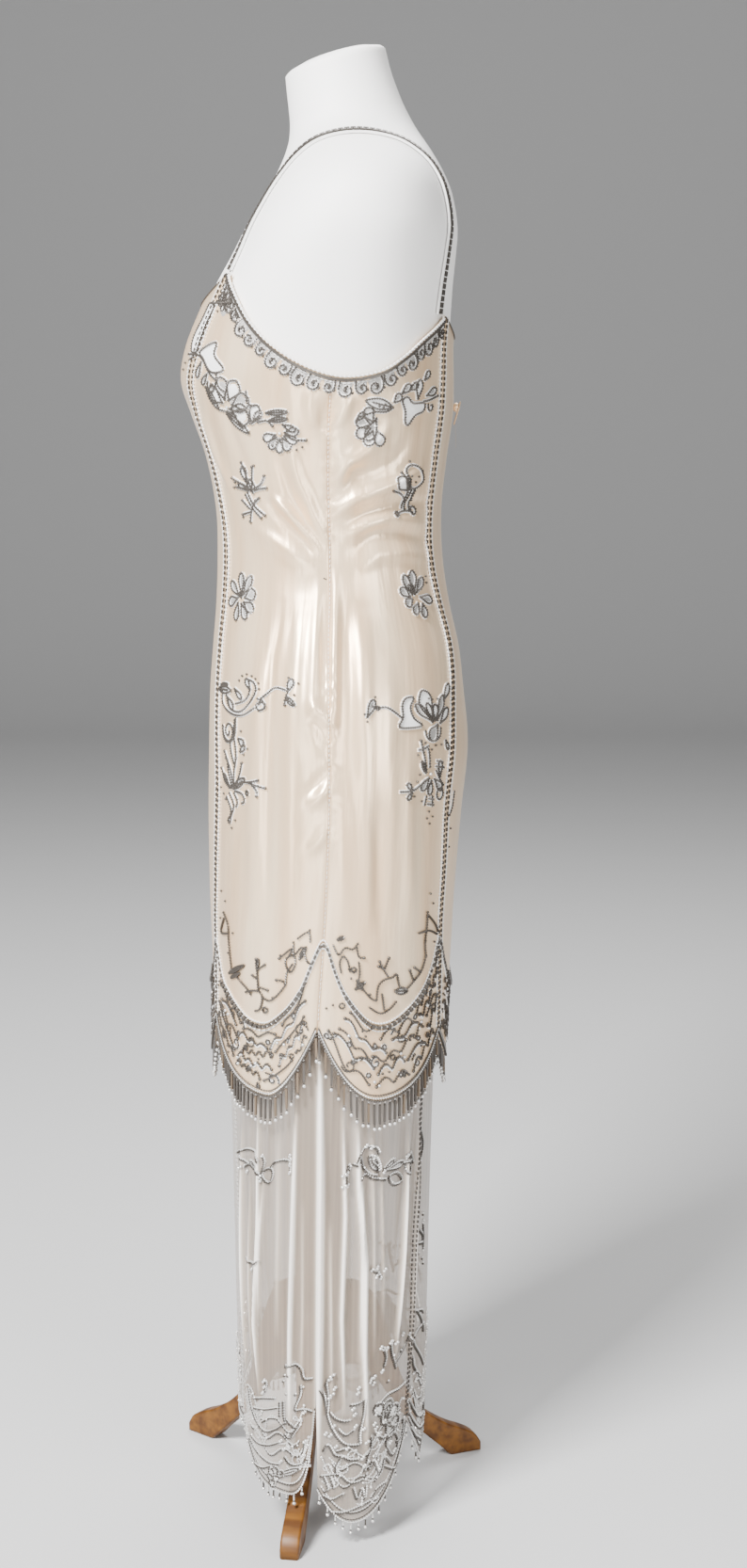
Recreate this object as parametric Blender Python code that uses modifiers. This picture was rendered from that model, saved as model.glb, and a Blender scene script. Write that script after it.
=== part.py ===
"""A beaded satin slip dress over a sheer net underskirt, worn by a dress form on a tripod stand.

Metres, +Z up. The floor is Z = 0, the dress faces -Y and its own left side is +X.
A place on the cloth is an angle and a height: 0 degrees is the dress's left side, -90 the
centre front and 90 the centre back. The right side mirrors the left one.
"""
import math

import bmesh
import bpy
from mathutils import Vector

GAP = 0.0003
SEAM_GAP = 0.0005
SATIN_THICKNESS = 0.0012
NET_THICKNESS = 0.0010
NET_GAP = 0.0008

# The form's skin by height, and how far outside it the satin lies.
BODY = [
    # height, centre, half_width, front, back, squareness, ease
    (0.430, 0.000, 0.1620, -0.1122, 0.1088, 2.30, 0.0040),
    (0.500, 0.000, 0.1640, -0.1112, 0.1118, 2.30, 0.0040),
    (0.560, 0.000, 0.1670, -0.1110, 0.1150, 2.30, 0.0040),
    (0.620, 0.000, 0.1700, -0.1128, 0.1182, 2.30, 0.0040),
    (0.700, 0.000, 0.1720, -0.1132, 0.1245, 2.30, 0.0040),
    (0.765, 0.000, 0.1690, -0.1120, 0.1305, 2.25, 0.0040),
    (0.820, 0.000, 0.1590, -0.1105, 0.1258, 2.20, 0.0040),
    (0.860, 0.000, 0.1460, -0.1074, 0.1210, 2.20, 0.0040),
    (0.900, 0.000, 0.1320, -0.1040, 0.1120, 2.20, 0.0040),
    (0.945, 0.000, 0.1225, -0.1023, 0.1052, 2.20, 0.0040),
    (0.990, 0.000, 0.1240, -0.1032, 0.1039, 2.20, 0.0040),
    (1.040, 0.000, 0.1330, -0.1123, 0.1090, 2.20, 0.0040),
    (1.080, 0.001, 0.1410, -0.1260, 0.1145, 2.20, 0.0040),
    (1.110, 0.003, 0.1460, -0.1350, 0.1150, 2.20, 0.0040),
    (1.140, 0.006, 0.1490, -0.1305, 0.1145, 2.20, 0.0040),
    (1.170, 0.010, 0.1540, -0.1185, 0.1160, 2.20, 0.0040),
    (1.200, 0.014, 0.1610, -0.1040, 0.1180, 2.20, 0.0038),
    (1.225, 0.017, 0.1670, -0.0895, 0.1205, 2.20, 0.0035),
    (1.250, 0.022, 0.1700, -0.0765, 0.1220, 2.20, 0.0020),
    (1.280, 0.028, 0.1640, -0.0590, 0.1170, 2.15, 0.0020),
    (1.300, 0.031, 0.1460, -0.0470, 0.1090, 2.10, 0.0020),
    (1.318, 0.031, 0.1130, -0.0395, 0.0990, 2.00, 0.0020),
    (1.330, 0.028, 0.0850, -0.0362, 0.0910, 2.00, 0.0020),
    (1.345, 0.023, 0.0640, -0.0352, 0.0800, 2.00, 0.0020),
    (1.362, 0.016, 0.0560, -0.0360, 0.0690, 2.00, 0.0020),
    (1.382, 0.011, 0.0520, -0.0376, 0.0595, 2.00, 0.0020),
    (1.400, 0.008, 0.0500, -0.0391, 0.0543, 2.00, 0.0020),
]
FORM_BOTTOM = 0.660
FORM_SEGMENTS = 26
NECK_TILT = 0.28
NECK_TILT_START = 1.332
NECK_TOP = 1.400
NECK_DOME = [
    # share of the neck's width, rise
    (0.93, 0.0030),
    (0.70, 0.0065),
    (0.35, 0.0085),
]

# The panels' seams, in degrees from the left side.
SEAMS = [
    # height, front, side, back
    (0.430, -56.0, -3.0, 51.0),
    (0.510, -55.0, -3.0, 50.0),
    (0.600, -52.0, -1.0, 47.0),
    (0.650, -49.0, 0.0, 47.0),
    (0.730, -46.5, 1.0, 46.5),
    (0.790, -49.5, 1.0, 51.5),
    (0.840, -52.5, 1.0, 58.0),
    (0.880, -54.5, 1.0, 60.0),
    (0.915, -54.5, 1.5, 57.0),
    (0.960, -55.0, 1.5, 54.0),
    (1.010, -59.0, 1.0, 54.0),
    (1.080, -62.0, 1.0, 53.5),
    (1.150, -55.0, 1.0, 52.5),
    (1.206, -47.0, 1.0, 50.0),
]
ARMHOLE = [
    # angle, height
    (-47.0, 1.206),
    (-37.0, 1.183),
    (-30.0, 1.163),
    (-22.0, 1.144),
    (-12.0, 1.127),
    (-1.0, 1.1155),
    (8.0, 1.113),
    (19.0, 1.119),
    (27.0, 1.131),
    (36.0, 1.147),
    (52.0, 1.168),
]
NECK_FRONT = 1.180
NECK_BACK = 1.150

# Each scallop hangs from one seam to the next and is lowest between them.
SATIN_SCALLOPS = [
    # start_angle, start_height, low_angle, low_height, end_angle, end_height, start_power, end_power
    (-125.0, 0.509, -90.0, 0.456, -55.0, 0.509, 2.0, 2.0),
    (-55.0, 0.509, -20.0, 0.452, -3.0, 0.520, 2.0, 1.7),
    (-3.0, 0.520, 18.0, 0.4485, 50.0, 0.497, 2.2, 2.0),
    (50.0, 0.497, 90.0, 0.450, 130.0, 0.497, 2.0, 2.0),
]

# The net hangs inside the satin and draws in below it.
NET = [
    # height, half_width, front, back
    (0.020, 0.1490, -0.0890, 0.0935),
    (0.100, 0.1500, -0.0930, 0.0945),
    (0.200, 0.1520, -0.0952, 0.0972),
    (0.300, 0.1540, -0.0965, 0.0990),
    (0.400, 0.1560, -0.0980, 0.1015),
    (0.480, 0.1580, -0.1000, 0.1040),
    (0.600, 0.1640, -0.1060, 0.1100),
]
NET_SQUARENESS = 2.3
NET_TOP = 0.600
NET_FREE_TOP = 0.585
NET_FREE_BOTTOM = 0.460
NET_SEAMS = [
    # height, front, side, back
    (0.020, -49.0, -4.5, 35.0),
    (0.100, -49.5, -4.5, 35.5),
    (0.200, -49.0, -4.5, 38.0),
    (0.300, -50.0, -4.0, 39.5),
    (0.420, -51.0, -3.0, 44.0),
    (0.600, -52.0, -1.0, 47.0),
]
NET_SCALLOPS = [
    # start_angle, start_height, low_angle, low_height, end_angle, end_height, start_power, end_power
    (-130.5, 0.097, -90.0, 0.086, -49.5, 0.097, 2.0, 2.0),
    (-49.5, 0.097, -23.0, 0.049, -4.5, 0.150, 2.0, 6.0),
    (-4.5, 0.060, 9.0, 0.0235, 35.5, 0.106, 2.0, 2.0),
    (35.5, 0.106, 54.0, 0.053, 90.0, 0.118, 1.2, 1.1),
    (90.0, 0.118, 126.0, 0.053, 144.5, 0.106, 1.1, 1.2),
]

# Soft folds: each is a low ridge along a line on the cloth, the same on both sides.
SATIN_FOLDS = [
    # from_angle, from_height, to_angle, to_height, half_width, rise
    (-3.0, 0.955, -22.0, 1.045, 0.011, 0.0022),
    (-9.0, 0.940, -33.0, 1.015, 0.012, 0.0018),
    (5.0, 0.965, 36.0, 1.060, 0.013, 0.0024),
    (9.0, 0.940, 42.0, 0.985, 0.013, 0.0018),
    (5.0, 0.905, 4.0, 0.770, 0.010, 0.0030),
    (-7.0, 0.900, -7.0, 0.770, 0.011, 0.0024),
    (15.0, 0.895, 18.0, 0.700, 0.012, 0.0022),
    (-20.0, 0.780, -22.0, 0.490, 0.013, 0.0026),
    (-36.0, 0.760, -35.0, 0.500, 0.013, 0.0020),
    (9.0, 0.720, 8.0, 0.500, 0.013, 0.0026),
    (29.0, 0.740, 30.0, 0.490, 0.014, 0.0022),
]
NET_FOLDS = [
    # from_angle, from_height, to_angle, to_height, half_width, rise
    (-75.0, 0.560, -72.0, 0.100, 0.012, 0.0035),
    (-41.0, 0.560, -39.0, 0.070, 0.010, 0.0035),
    (-29.0, 0.560, -29.0, 0.060, 0.009, 0.0030),
    (-16.0, 0.560, -17.0, 0.060, 0.010, 0.0038),
    (4.0, 0.560, 3.0, 0.040, 0.009, 0.0035),
    (15.0, 0.560, 13.0, 0.040, 0.009, 0.0030),
    (28.0, 0.560, 25.0, 0.060, 0.010, 0.0032),
    (66.0, 0.560, 60.0, 0.080, 0.012, 0.0035),
]

SATIN_COLUMNS = 10
SATIN_ROWS = 22
SATIN_NARROW_COLUMNS = 10
NET_COLUMNS = 13
NET_ROWS = 9
NET_WIDE_COLUMNS = 12
ROW_CROWDING = 0.35  # rows lie closer together towards the top, where the cloth curves most

# Fringe: strands fused to a narrow strip that lies just under the cloth's edge.
STRIP_GAP = 0.0006
STRIP_HEIGHT = 0.0015
STRAND_WIDTH = 0.0020
STRAND_THICKNESS = 0.0015
FRINGES = [
    # name, edge, start_angle, end_angle, strands, strand_length, mirrored
    ("fringe_front", "satin", -123.0, -57.0, 14, 0.024, False),
    ("fringe_side_front", "satin", -53.0, -4.5, 20, 0.024, True),
    ("fringe_side_back", "satin", -1.0, 48.0, 20, 0.024, True),
    ("fringe_back", "satin", 52.0, 128.0, 14, 0.024, False),
    ("net_fringe_front", "net", -115.0, -65.0, 8, 0.010, False),
    ("net_fringe_side_front", "net", -47.5, -16.0, 8, 0.010, True),
    ("net_fringe_side_back", "net", -2.0, 33.0, 9, 0.010, True),
    ("net_fringe_back", "net", 38.0, 54.4, 4, 0.010, True),
]

STRAP_X = 0.0850
STRAP_RADIUS = 0.0024
CORD_X = 0.0908
CORD_RADIUS = 0.0012
STRAP_LIFT = 0.0006
STRAP_FRONT = 1.2072
STRAP_BACK = 1.1690
STRAP_POINTS = 12
BUTTON_HEIGHT = 1.085
BUTTON_RADIUS = 0.0045

STAND_Y = -0.0116
COLUMN_RADIUS = 0.0245
COLUMN_BOTTOM = 0.075
COLUMN_SEGMENTS = 20
LEG_TURN = -8.5
LEG_THICKNESS = 0.019
LEG = [
    # reach, top, underside
    (0.0250, 0.2050, 0.1200),
    (0.0400, 0.2040, 0.1160),
    (0.0550, 0.1930, 0.1040),
    (0.0700, 0.1580, 0.0840),
    (0.0850, 0.1030, 0.0600),
    (0.1000, 0.0700, 0.0420),
    (0.1150, 0.0530, 0.0270),
    (0.1300, 0.0415, 0.0130),
    (0.1440, 0.0330, 0.0000),
    (0.1600, 0.0255, 0.0000),
    (0.1715, 0.0180, 0.0000),
    (0.1772, 0.0090, 0.0000),
]

SATIN_COLOR = (0.86, 0.79, 0.70)
NET_COLOR = (0.88, 0.86, 0.83)
BEAD_COLOR = (0.42, 0.41, 0.40)
FORM_COLOR = (0.90, 0.88, 0.86)
WOOD_COLOR = (0.55, 0.27, 0.09)


def clear_scene():
    for item in list(bpy.data.objects):
        bpy.data.objects.remove(item, do_unlink=True)


def column_of(table, column, value):
    """Read a column of a table on a smooth curve through its rows, by the first column."""
    last = len(table) - 1
    if value <= table[0][0]:
        return table[0][column]
    if value >= table[last][0]:
        return table[last][column]
    row = 0
    while table[row + 1][0] < value:
        row += 1

    def slope(index):
        low = max(index - 1, 0)
        high = min(index + 1, last)
        return (table[high][column] - table[low][column]) / (table[high][0] - table[low][0])

    step = table[row + 1][0] - table[row][0]
    s = (value - table[row][0]) / step
    start, end = table[row][column], table[row + 1][column]
    lift = (s ** 3 - 2 * s ** 2 + s) * slope(row) + (s ** 3 - s ** 2) * slope(row + 1)
    return start + (end - start) * s * s * (3 - 2 * s) + lift * step


def ease_in_out(low, high, value):
    s = min(max((value - low) / (high - low), 0.0), 1.0)
    return s * s * (3 - 2 * s)


def oval_point(angle, height, centre, half_width, front, back, squareness):
    """A point of a level, squared oval, by its angle round the oval's centre."""
    turn = math.radians(angle)
    cosine, sine = math.cos(turn), math.sin(turn)
    depth = back - centre if sine > 0 else centre - front
    across = abs(cosine) / half_width
    along = abs(sine) / depth
    radius = (across ** squareness + along ** squareness) ** (-1 / squareness)
    return Vector((radius * cosine, centre + radius * sine, height))


def body_point(angle, height, out=0.0):
    centre, half_width, front, back, squareness = (column_of(BODY, c, height) for c in range(1, 6))
    return oval_point(angle, height, centre, half_width + out, front - out, back + out, squareness)


def near_angle(angle):
    """The angle on the left half that mirrors this one."""
    if angle > 90:
        return 180 - angle
    if angle < -90:
        return -180 - angle
    return angle


def fold_rise(folds, angle, height, radius):
    """How far the folds lift the cloth here."""
    angle = near_angle(angle)
    rise = 0.0
    for from_angle, from_height, to_angle, to_height, half_width, fold in folds:
        start = Vector((math.radians(from_angle) * radius, from_height))
        run = Vector((math.radians(to_angle) * radius, to_height)) - start
        place = Vector((math.radians(angle) * radius, height)) - start
        share = place.dot(run) / run.length_squared
        inside = min(max(share, 0.0), 1.0)
        distance = (place - run * inside).length
        fade = 1 - 0.55 * abs(2 * inside - 1) ** 2
        rise += fold * fade * math.exp(-(distance / half_width) ** 2)
    return rise


def satin_point(angle, height, out=0.0):
    ease = column_of(BODY, 6, height)
    rise = fold_rise(SATIN_FOLDS, angle, height, 0.13)
    return body_point(angle, height, ease + rise + out)


def net_point(angle, height, out=0.0):
    """The net follows the satin's inside at its top and hangs free lower down."""
    rise = fold_rise(NET_FOLDS, angle, height, 0.12) + out
    half_width, front, back = (column_of(NET, c, height) for c in range(1, 4))
    free = oval_point(angle, height, 0.0, half_width + rise, front - rise, back + rise, NET_SQUARENESS)
    held = satin_point(angle, height, out - SATIN_THICKNESS - NET_GAP)
    return free.lerp(held, ease_in_out(NET_FREE_BOTTOM, NET_FREE_TOP, height))


def hem_height(scallops, angle):
    for start, start_height, low_angle, low, end, end_height, start_power, end_power in scallops:
        if angle <= end:
            break
    if angle < low_angle:
        return low + (start_height - low) * min((low_angle - angle) / (low_angle - start), 1) ** start_power
    return low + (end_height - low) * min((angle - low_angle) / (end - low_angle), 1) ** end_power


def satin_hem(angle):
    return hem_height(SATIN_SCALLOPS, angle)


def net_hem(angle):
    return hem_height(NET_SCALLOPS, angle)


def front_neck(angle):
    return NECK_FRONT + (ARMHOLE[0][1] - NECK_FRONT) * min(abs(angle + 90) / 43, 1) ** 2


def back_neck(angle):
    return NECK_BACK + (ARMHOLE[-1][1] - NECK_BACK) * min(abs(angle - 90) / 38, 1) ** 2


def armhole(angle):
    return column_of(ARMHOLE, 1, angle)


def net_top(angle):
    return NET_TOP


def make_material(name, color, roughness, metallic=0.0, alpha=1.0):
    material = bpy.data.materials.new(name)
    material.use_nodes = True
    shader = material.node_tree.nodes["Principled BSDF"]
    shader.inputs["Base Color"].default_value = (*color, 1.0)
    shader.inputs["Roughness"].default_value = roughness
    shader.inputs["Metallic"].default_value = metallic
    shader.inputs["Alpha"].default_value = alpha
    return material


def add_mesh(name, mesh_data, material, collection):
    mesh = bpy.data.meshes.new(name)
    mesh_data.to_mesh(mesh)
    mesh_data.free()
    mesh.materials.append(material)
    item = bpy.data.objects.new(name, mesh)
    collection.objects.link(item)
    return item


def thicken(item, thickness):
    """Turn an outer face into a wall that grows inwards."""
    wall = item.modifiers.new("Wall", "SOLIDIFY")
    wall.thickness = thickness
    wall.offset = -1.0
    wall.use_even_offset = True


def mirror_mesh(mesh_data):
    for vertex in mesh_data.verts:
        vertex.co.x = -vertex.co.x
    bmesh.ops.reverse_faces(mesh_data, faces=mesh_data.faces)


def panel_angle(seams, sides, across, height):
    left, right = (side(seams, height) for side in sides)
    return left + (right - left) * across


def edge_height(edge, seams, sides, across):
    """Where one column of a panel meets its hem or its top edge."""
    height = edge(0.5 * (sides[0](seams, NET_TOP) + sides[1](seams, NET_TOP)))
    for _ in range(15):
        height = edge(panel_angle(seams, sides, across, height))
    return height


def add_panel(name, seams, sides, top, hem, point, columns, rows, thickness, material, collection, mirrored):
    """Cut one panel between two seams, from its hem to its top edge."""
    panel = bmesh.new()
    bmesh.ops.create_grid(panel, x_segments=columns, y_segments=rows, size=0.5)
    for vertex in panel.verts:
        across, up = vertex.co.x + 0.5, vertex.co.y + 0.5
        low = edge_height(hem, seams, sides, across)
        high = edge_height(top, seams, sides, across)
        height = low + (high - low) * up * (1 + ROW_CROWDING * (1 - up))
        angle = panel_angle(seams, sides, across, height)
        margin = math.degrees(SEAM_GAP / point(angle, height).to_2d().length)
        vertex.co = point(angle + margin * (0.5 - across), height)
    if mirrored:
        mirror_mesh(panel)
    item = add_mesh(name, panel, material, collection)
    thicken(item, thickness)
    return item


def front_seam(seams, height):
    return column_of(seams, 1, height)


def side_seam(seams, height):
    return column_of(seams, 2, height)


def back_seam(seams, height):
    return column_of(seams, 3, height)


def far_front_seam(seams, height):
    return -180 - front_seam(seams, height)


def far_back_seam(seams, height):
    return 180 - back_seam(seams, height)


def add_panels(prefix, seams, tops, hem, point, counts, thickness, material, collection):
    """The front and back panels, and a side front and a side back panel on each side."""
    side_columns, middle_columns, rows = counts
    front_top, side_top, back_top = tops
    for name, sides, top, columns in [
        ("front", (far_front_seam, front_seam), front_top, middle_columns),
        ("back", (back_seam, far_back_seam), back_top, middle_columns),
    ]:
        add_panel(f"{prefix}_{name}", seams, sides, top, hem, point, columns, rows,
                  thickness, material, collection, False)
    for name, sides in [("side_front", (front_seam, side_seam)), ("side_back", (side_seam, back_seam))]:
        for side, mirrored in [("left", False), ("right", True)]:
            add_panel(f"{prefix}_{name}_{side}", seams, sides, side_top, hem, point, side_columns, rows,
                      thickness, material, collection, mirrored)


def add_fringe(name, hem, point, start, end, strands, length, material, collection, mirrored):
    """A comb: a strip along the hem with a strand hanging from every other stretch of it."""
    fringe = bmesh.new()
    middle = point(0.5 * (start + end), hem(0.5 * (start + end)))
    half_strand = math.degrees(0.5 * STRAND_WIDTH / middle.to_2d().length)
    angles = []
    for index in range(strands):
        centre = start + half_strand + (end - start - 2 * half_strand) * index / (strands - 1)
        angles += [centre - half_strand, centre + half_strand]

    columns = []
    for angle in angles:
        edge = point(angle, hem(angle))
        drops = [STRIP_GAP, STRIP_GAP + STRIP_HEIGHT, STRIP_GAP + STRIP_HEIGHT + length]
        columns.append([fringe.verts.new(edge - Vector((0, 0, drop))) for drop in drops])
    for index in range(len(columns) - 1):
        left, right = columns[index], columns[index + 1]
        fringe.faces.new([left[1], right[1], right[0], left[0]])
        if index % 2 == 0:
            fringe.faces.new([left[2], right[2], right[1], left[1]])
    if mirrored:
        mirror_mesh(fringe)
    loose = [vertex for vertex in fringe.verts if not vertex.link_faces]
    bmesh.ops.delete(fringe, geom=loose, context="VERTS")
    item = add_mesh(name, fringe, material, collection)
    thicken(item, STRAND_THICKNESS)
    return item


def add_fringes(material, collection):
    for name, edge, start, end, strands, length, paired in FRINGES:
        hem, point = (satin_hem, satin_point) if edge == "satin" else (net_hem, net_point)
        if not paired:
            add_fringe(name, hem, point, start, end, strands, length, material, collection, False)
            continue
        for side, mirrored in [("left", False), ("right", True)]:
            add_fringe(f"{name}_{side}", hem, point, start, end, strands, length,
                       material, collection, mirrored)


def form_ring(angle, height, share=1.0, rise=0.0):
    """A point of the form, where the neck's rings tilt up towards the back."""
    centre = column_of(BODY, 1, height)
    point = body_point(angle, height)
    tilt = NECK_TILT * ease_in_out(NECK_TILT_START, NECK_TOP, height)
    point.x *= share
    point.y = centre + (point.y - centre) * share
    point.z += tilt * (point.y - centre) + rise
    return point


def add_form(material, collection):
    """A smooth closed form from the thigh to the neck, lofted through the rows of its skin."""
    form = bmesh.new()
    levels = [(FORM_BOTTOM, 1.0, 0.0)]
    levels += [(row[0], 1.0, 0.0) for row in BODY if row[0] > FORM_BOTTOM]
    levels += [(NECK_TOP, share, rise) for share, rise in NECK_DOME]
    rings = []
    for height, share, rise in levels:
        turns = [360 * step / FORM_SEGMENTS for step in range(FORM_SEGMENTS)]
        rings.append([form.verts.new(form_ring(turn, height, share, rise)) for turn in turns])
    for low, high in zip(rings, rings[1:]):
        for step in range(FORM_SEGMENTS):
            after = (step + 1) % FORM_SEGMENTS
            form.faces.new([low[step], low[after], high[after], high[step]])
    form.faces.new(rings[0][::-1])
    form.faces.new(rings[-1])
    for face in form.faces:
        face.smooth = len(face.verts) == 4
    return add_mesh("form_torso", form, material, collection)


def skin_excess(place):
    """Below zero inside the form, above zero outside it."""
    centre, half_width, front, back, squareness = (column_of(BODY, c, place.z) for c in range(1, 6))
    offset = place.y - centre
    depth = back - centre if offset > 0 else centre - front
    return (abs(place.x) / half_width) ** squareness + (abs(offset) / depth) ** squareness - 1


def skin_normal(place):
    step = 0.0005
    slopes = []
    for axis in (Vector((step, 0, 0)), Vector((0, step, 0)), Vector((0, 0, step))):
        slopes.append(skin_excess(place + axis) - skin_excess(place - axis))
    return Vector(slopes).normalized()


def shoulder_height(x):
    """The height at which the form is just as wide as this."""
    low, high = 1.25, NECK_TOP
    for _ in range(40):
        middle = 0.5 * (low + high)
        if column_of(BODY, 2, middle) > x:
            low = middle
        else:
            high = middle
    return low


def strap_route(x, radius):
    """Up the chest, over the shoulder and down the back, in one plane on the form's skin."""
    top = shoulder_height(x)
    stretches = []
    for bottom, side in ((STRAP_FRONT, -1), (STRAP_BACK, 1)):
        stretch = []
        for step in range(STRAP_POINTS):
            share = math.sin(0.5 * math.pi * step / (STRAP_POINTS - 1))
            height = bottom + (top - bottom) * share
            centre, half_width, front, back, squareness = (column_of(BODY, c, height) for c in range(1, 6))
            depth = back - centre if side > 0 else centre - front
            reach = max(1 - (x / half_width) ** squareness, 0.0) ** (1 / squareness)
            place = Vector((x, centre + side * depth * reach, height))
            stretch.append(place + skin_normal(place) * (radius + STRAP_LIFT))
        stretches.append(stretch)
    front, back = stretches
    return front[:-1] + back[::-1]


def add_cord(name, points, radius, resolution, material, collection):
    """A round tube through the points, with filled ends."""
    curve = bpy.data.curves.new(name, "CURVE")
    curve.dimensions = "3D"
    curve.bevel_depth = radius
    curve.bevel_resolution = resolution
    curve.use_fill_caps = True
    spline = curve.splines.new("POLY")
    spline.points.add(len(points) - 1)
    for target, point in zip(spline.points, points):
        target.co = (*point, 1.0)
    curve.materials.append(material)
    item = bpy.data.objects.new(name, curve)
    collection.objects.link(item)
    return item


def add_straps(strap_material, cord_material, collection):
    """On each shoulder a beaded strap, and a plain cord beside it towards the arm."""
    for side, sign in [("left", 1), ("right", -1)]:
        for name, x, radius, material in [
            ("strap", STRAP_X, STRAP_RADIUS, strap_material),
            ("strap_cord", CORD_X, CORD_RADIUS, cord_material),
        ]:
            route = [Vector((sign * p.x, p.y, p.z)) for p in strap_route(x, radius)]
            add_cord(f"{name}_{side}", route, radius, 1, material, collection)


def add_button(material, collection):
    """The round button of the back fastening, on the centre back panel."""
    button = bmesh.new()
    bmesh.ops.create_uvsphere(button, u_segments=10, v_segments=6, radius=BUTTON_RADIUS)
    bmesh.ops.rotate(button, verts=button.verts, matrix=Vector((0, 0, 1)).rotation_difference(
        Vector((0, 1, 0))).to_matrix())
    seat = satin_point(90, BUTTON_HEIGHT, GAP)
    for vertex in button.verts:
        vertex.co.y *= 0.6
        vertex.co += seat + Vector((0, 0.6 * BUTTON_RADIUS + GAP, 0))
    return add_mesh("back_button", button, material, collection)


def add_column(material, collection):
    column = bmesh.new()
    length = FORM_BOTTOM - GAP - COLUMN_BOTTOM
    bmesh.ops.create_cone(column, cap_ends=True, segments=COLUMN_SEGMENTS, radius1=COLUMN_RADIUS,
                          radius2=COLUMN_RADIUS, depth=length)
    item = add_mesh("stand_column", column, material, collection)
    item.location = (0, STAND_Y, COLUMN_BOTTOM + 0.5 * length)
    return item


def add_leg(name, turn, material, collection):
    """A plank sawn to a curved outline, standing on edge and pointing outwards."""
    curve = bpy.data.curves.new(name, "CURVE")
    curve.dimensions = "2D"
    curve.fill_mode = "BOTH"
    curve.extrude = 0.5 * LEG_THICKNESS
    top = [(reach, above) for reach, above, _ in LEG]
    underside = [(reach, below) for reach, _, below in reversed(LEG)]
    outline = top + [(top[-1][0], 0.5 * top[-1][1])] + underside
    spline = curve.splines.new("POLY")
    spline.points.add(len(outline) - 1)
    spline.use_cyclic_u = True
    for target, (reach, height) in zip(spline.points, outline):
        target.co = (reach, height, 0.0, 1.0)
    curve.materials.append(material)
    item = bpy.data.objects.new(name, curve)
    item.location = (0, STAND_Y, 0)
    item.rotation_euler = (math.radians(90), 0, math.radians(turn))
    collection.objects.link(item)
    return item


def build():
    clear_scene()
    collection = bpy.data.collections.new("wedding_dress_on_form")
    bpy.context.scene.collection.children.link(collection)
    satin = make_material("satin", SATIN_COLOR, 0.32)
    net = make_material("net", NET_COLOR, 0.6, alpha=0.5)
    beads = make_material("beads", BEAD_COLOR, 0.25, metallic=0.7)
    cover = make_material("form_cover", FORM_COLOR, 0.6)
    wood = make_material("wood", WOOD_COLOR, 0.4)

    add_form(cover, collection)
    add_panels("satin", SEAMS, (front_neck, armhole, back_neck), satin_hem, satin_point,
               (SATIN_COLUMNS, SATIN_NARROW_COLUMNS, SATIN_ROWS), SATIN_THICKNESS, satin, collection)
    add_panels("net", NET_SEAMS, (net_top, net_top, net_top), net_hem, net_point,
               (NET_COLUMNS, NET_WIDE_COLUMNS, NET_ROWS), NET_THICKNESS, net, collection)
    add_fringes(beads, collection)
    add_straps(beads, satin, collection)
    add_button(satin, collection)
    add_column(wood, collection)
    for index, name in enumerate(["stand_leg_near", "stand_leg_back", "stand_leg_front"]):
        add_leg(name, LEG_TURN + 120 * index, wood, collection)


build()
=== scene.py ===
"""The beaded wedding dress on its form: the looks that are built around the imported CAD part.

Metres, +Z up. A place on the cloth is an angle and a height, as in the part: 0 degrees is the
dress's left side, -90 the centre front and 90 the centre back. The right side mirrors the left.
"""
import math

import bpy
import numpy as np
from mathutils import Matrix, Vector


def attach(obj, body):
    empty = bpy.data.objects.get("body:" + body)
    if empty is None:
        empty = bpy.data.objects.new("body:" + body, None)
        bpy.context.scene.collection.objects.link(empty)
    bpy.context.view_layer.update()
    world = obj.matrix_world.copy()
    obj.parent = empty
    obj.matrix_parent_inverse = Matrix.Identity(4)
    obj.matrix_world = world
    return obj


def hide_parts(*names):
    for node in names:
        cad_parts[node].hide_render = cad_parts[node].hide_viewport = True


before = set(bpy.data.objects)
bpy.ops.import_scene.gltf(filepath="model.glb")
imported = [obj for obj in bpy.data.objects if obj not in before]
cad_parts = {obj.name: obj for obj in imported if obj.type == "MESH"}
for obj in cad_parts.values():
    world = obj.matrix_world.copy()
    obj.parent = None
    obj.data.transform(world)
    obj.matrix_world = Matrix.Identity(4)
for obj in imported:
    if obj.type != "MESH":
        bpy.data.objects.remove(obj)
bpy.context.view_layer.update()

SATIN_THICKNESS = 0.0012
NET_GAP = 0.0008
FORM_SINK = 0.0004

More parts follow.
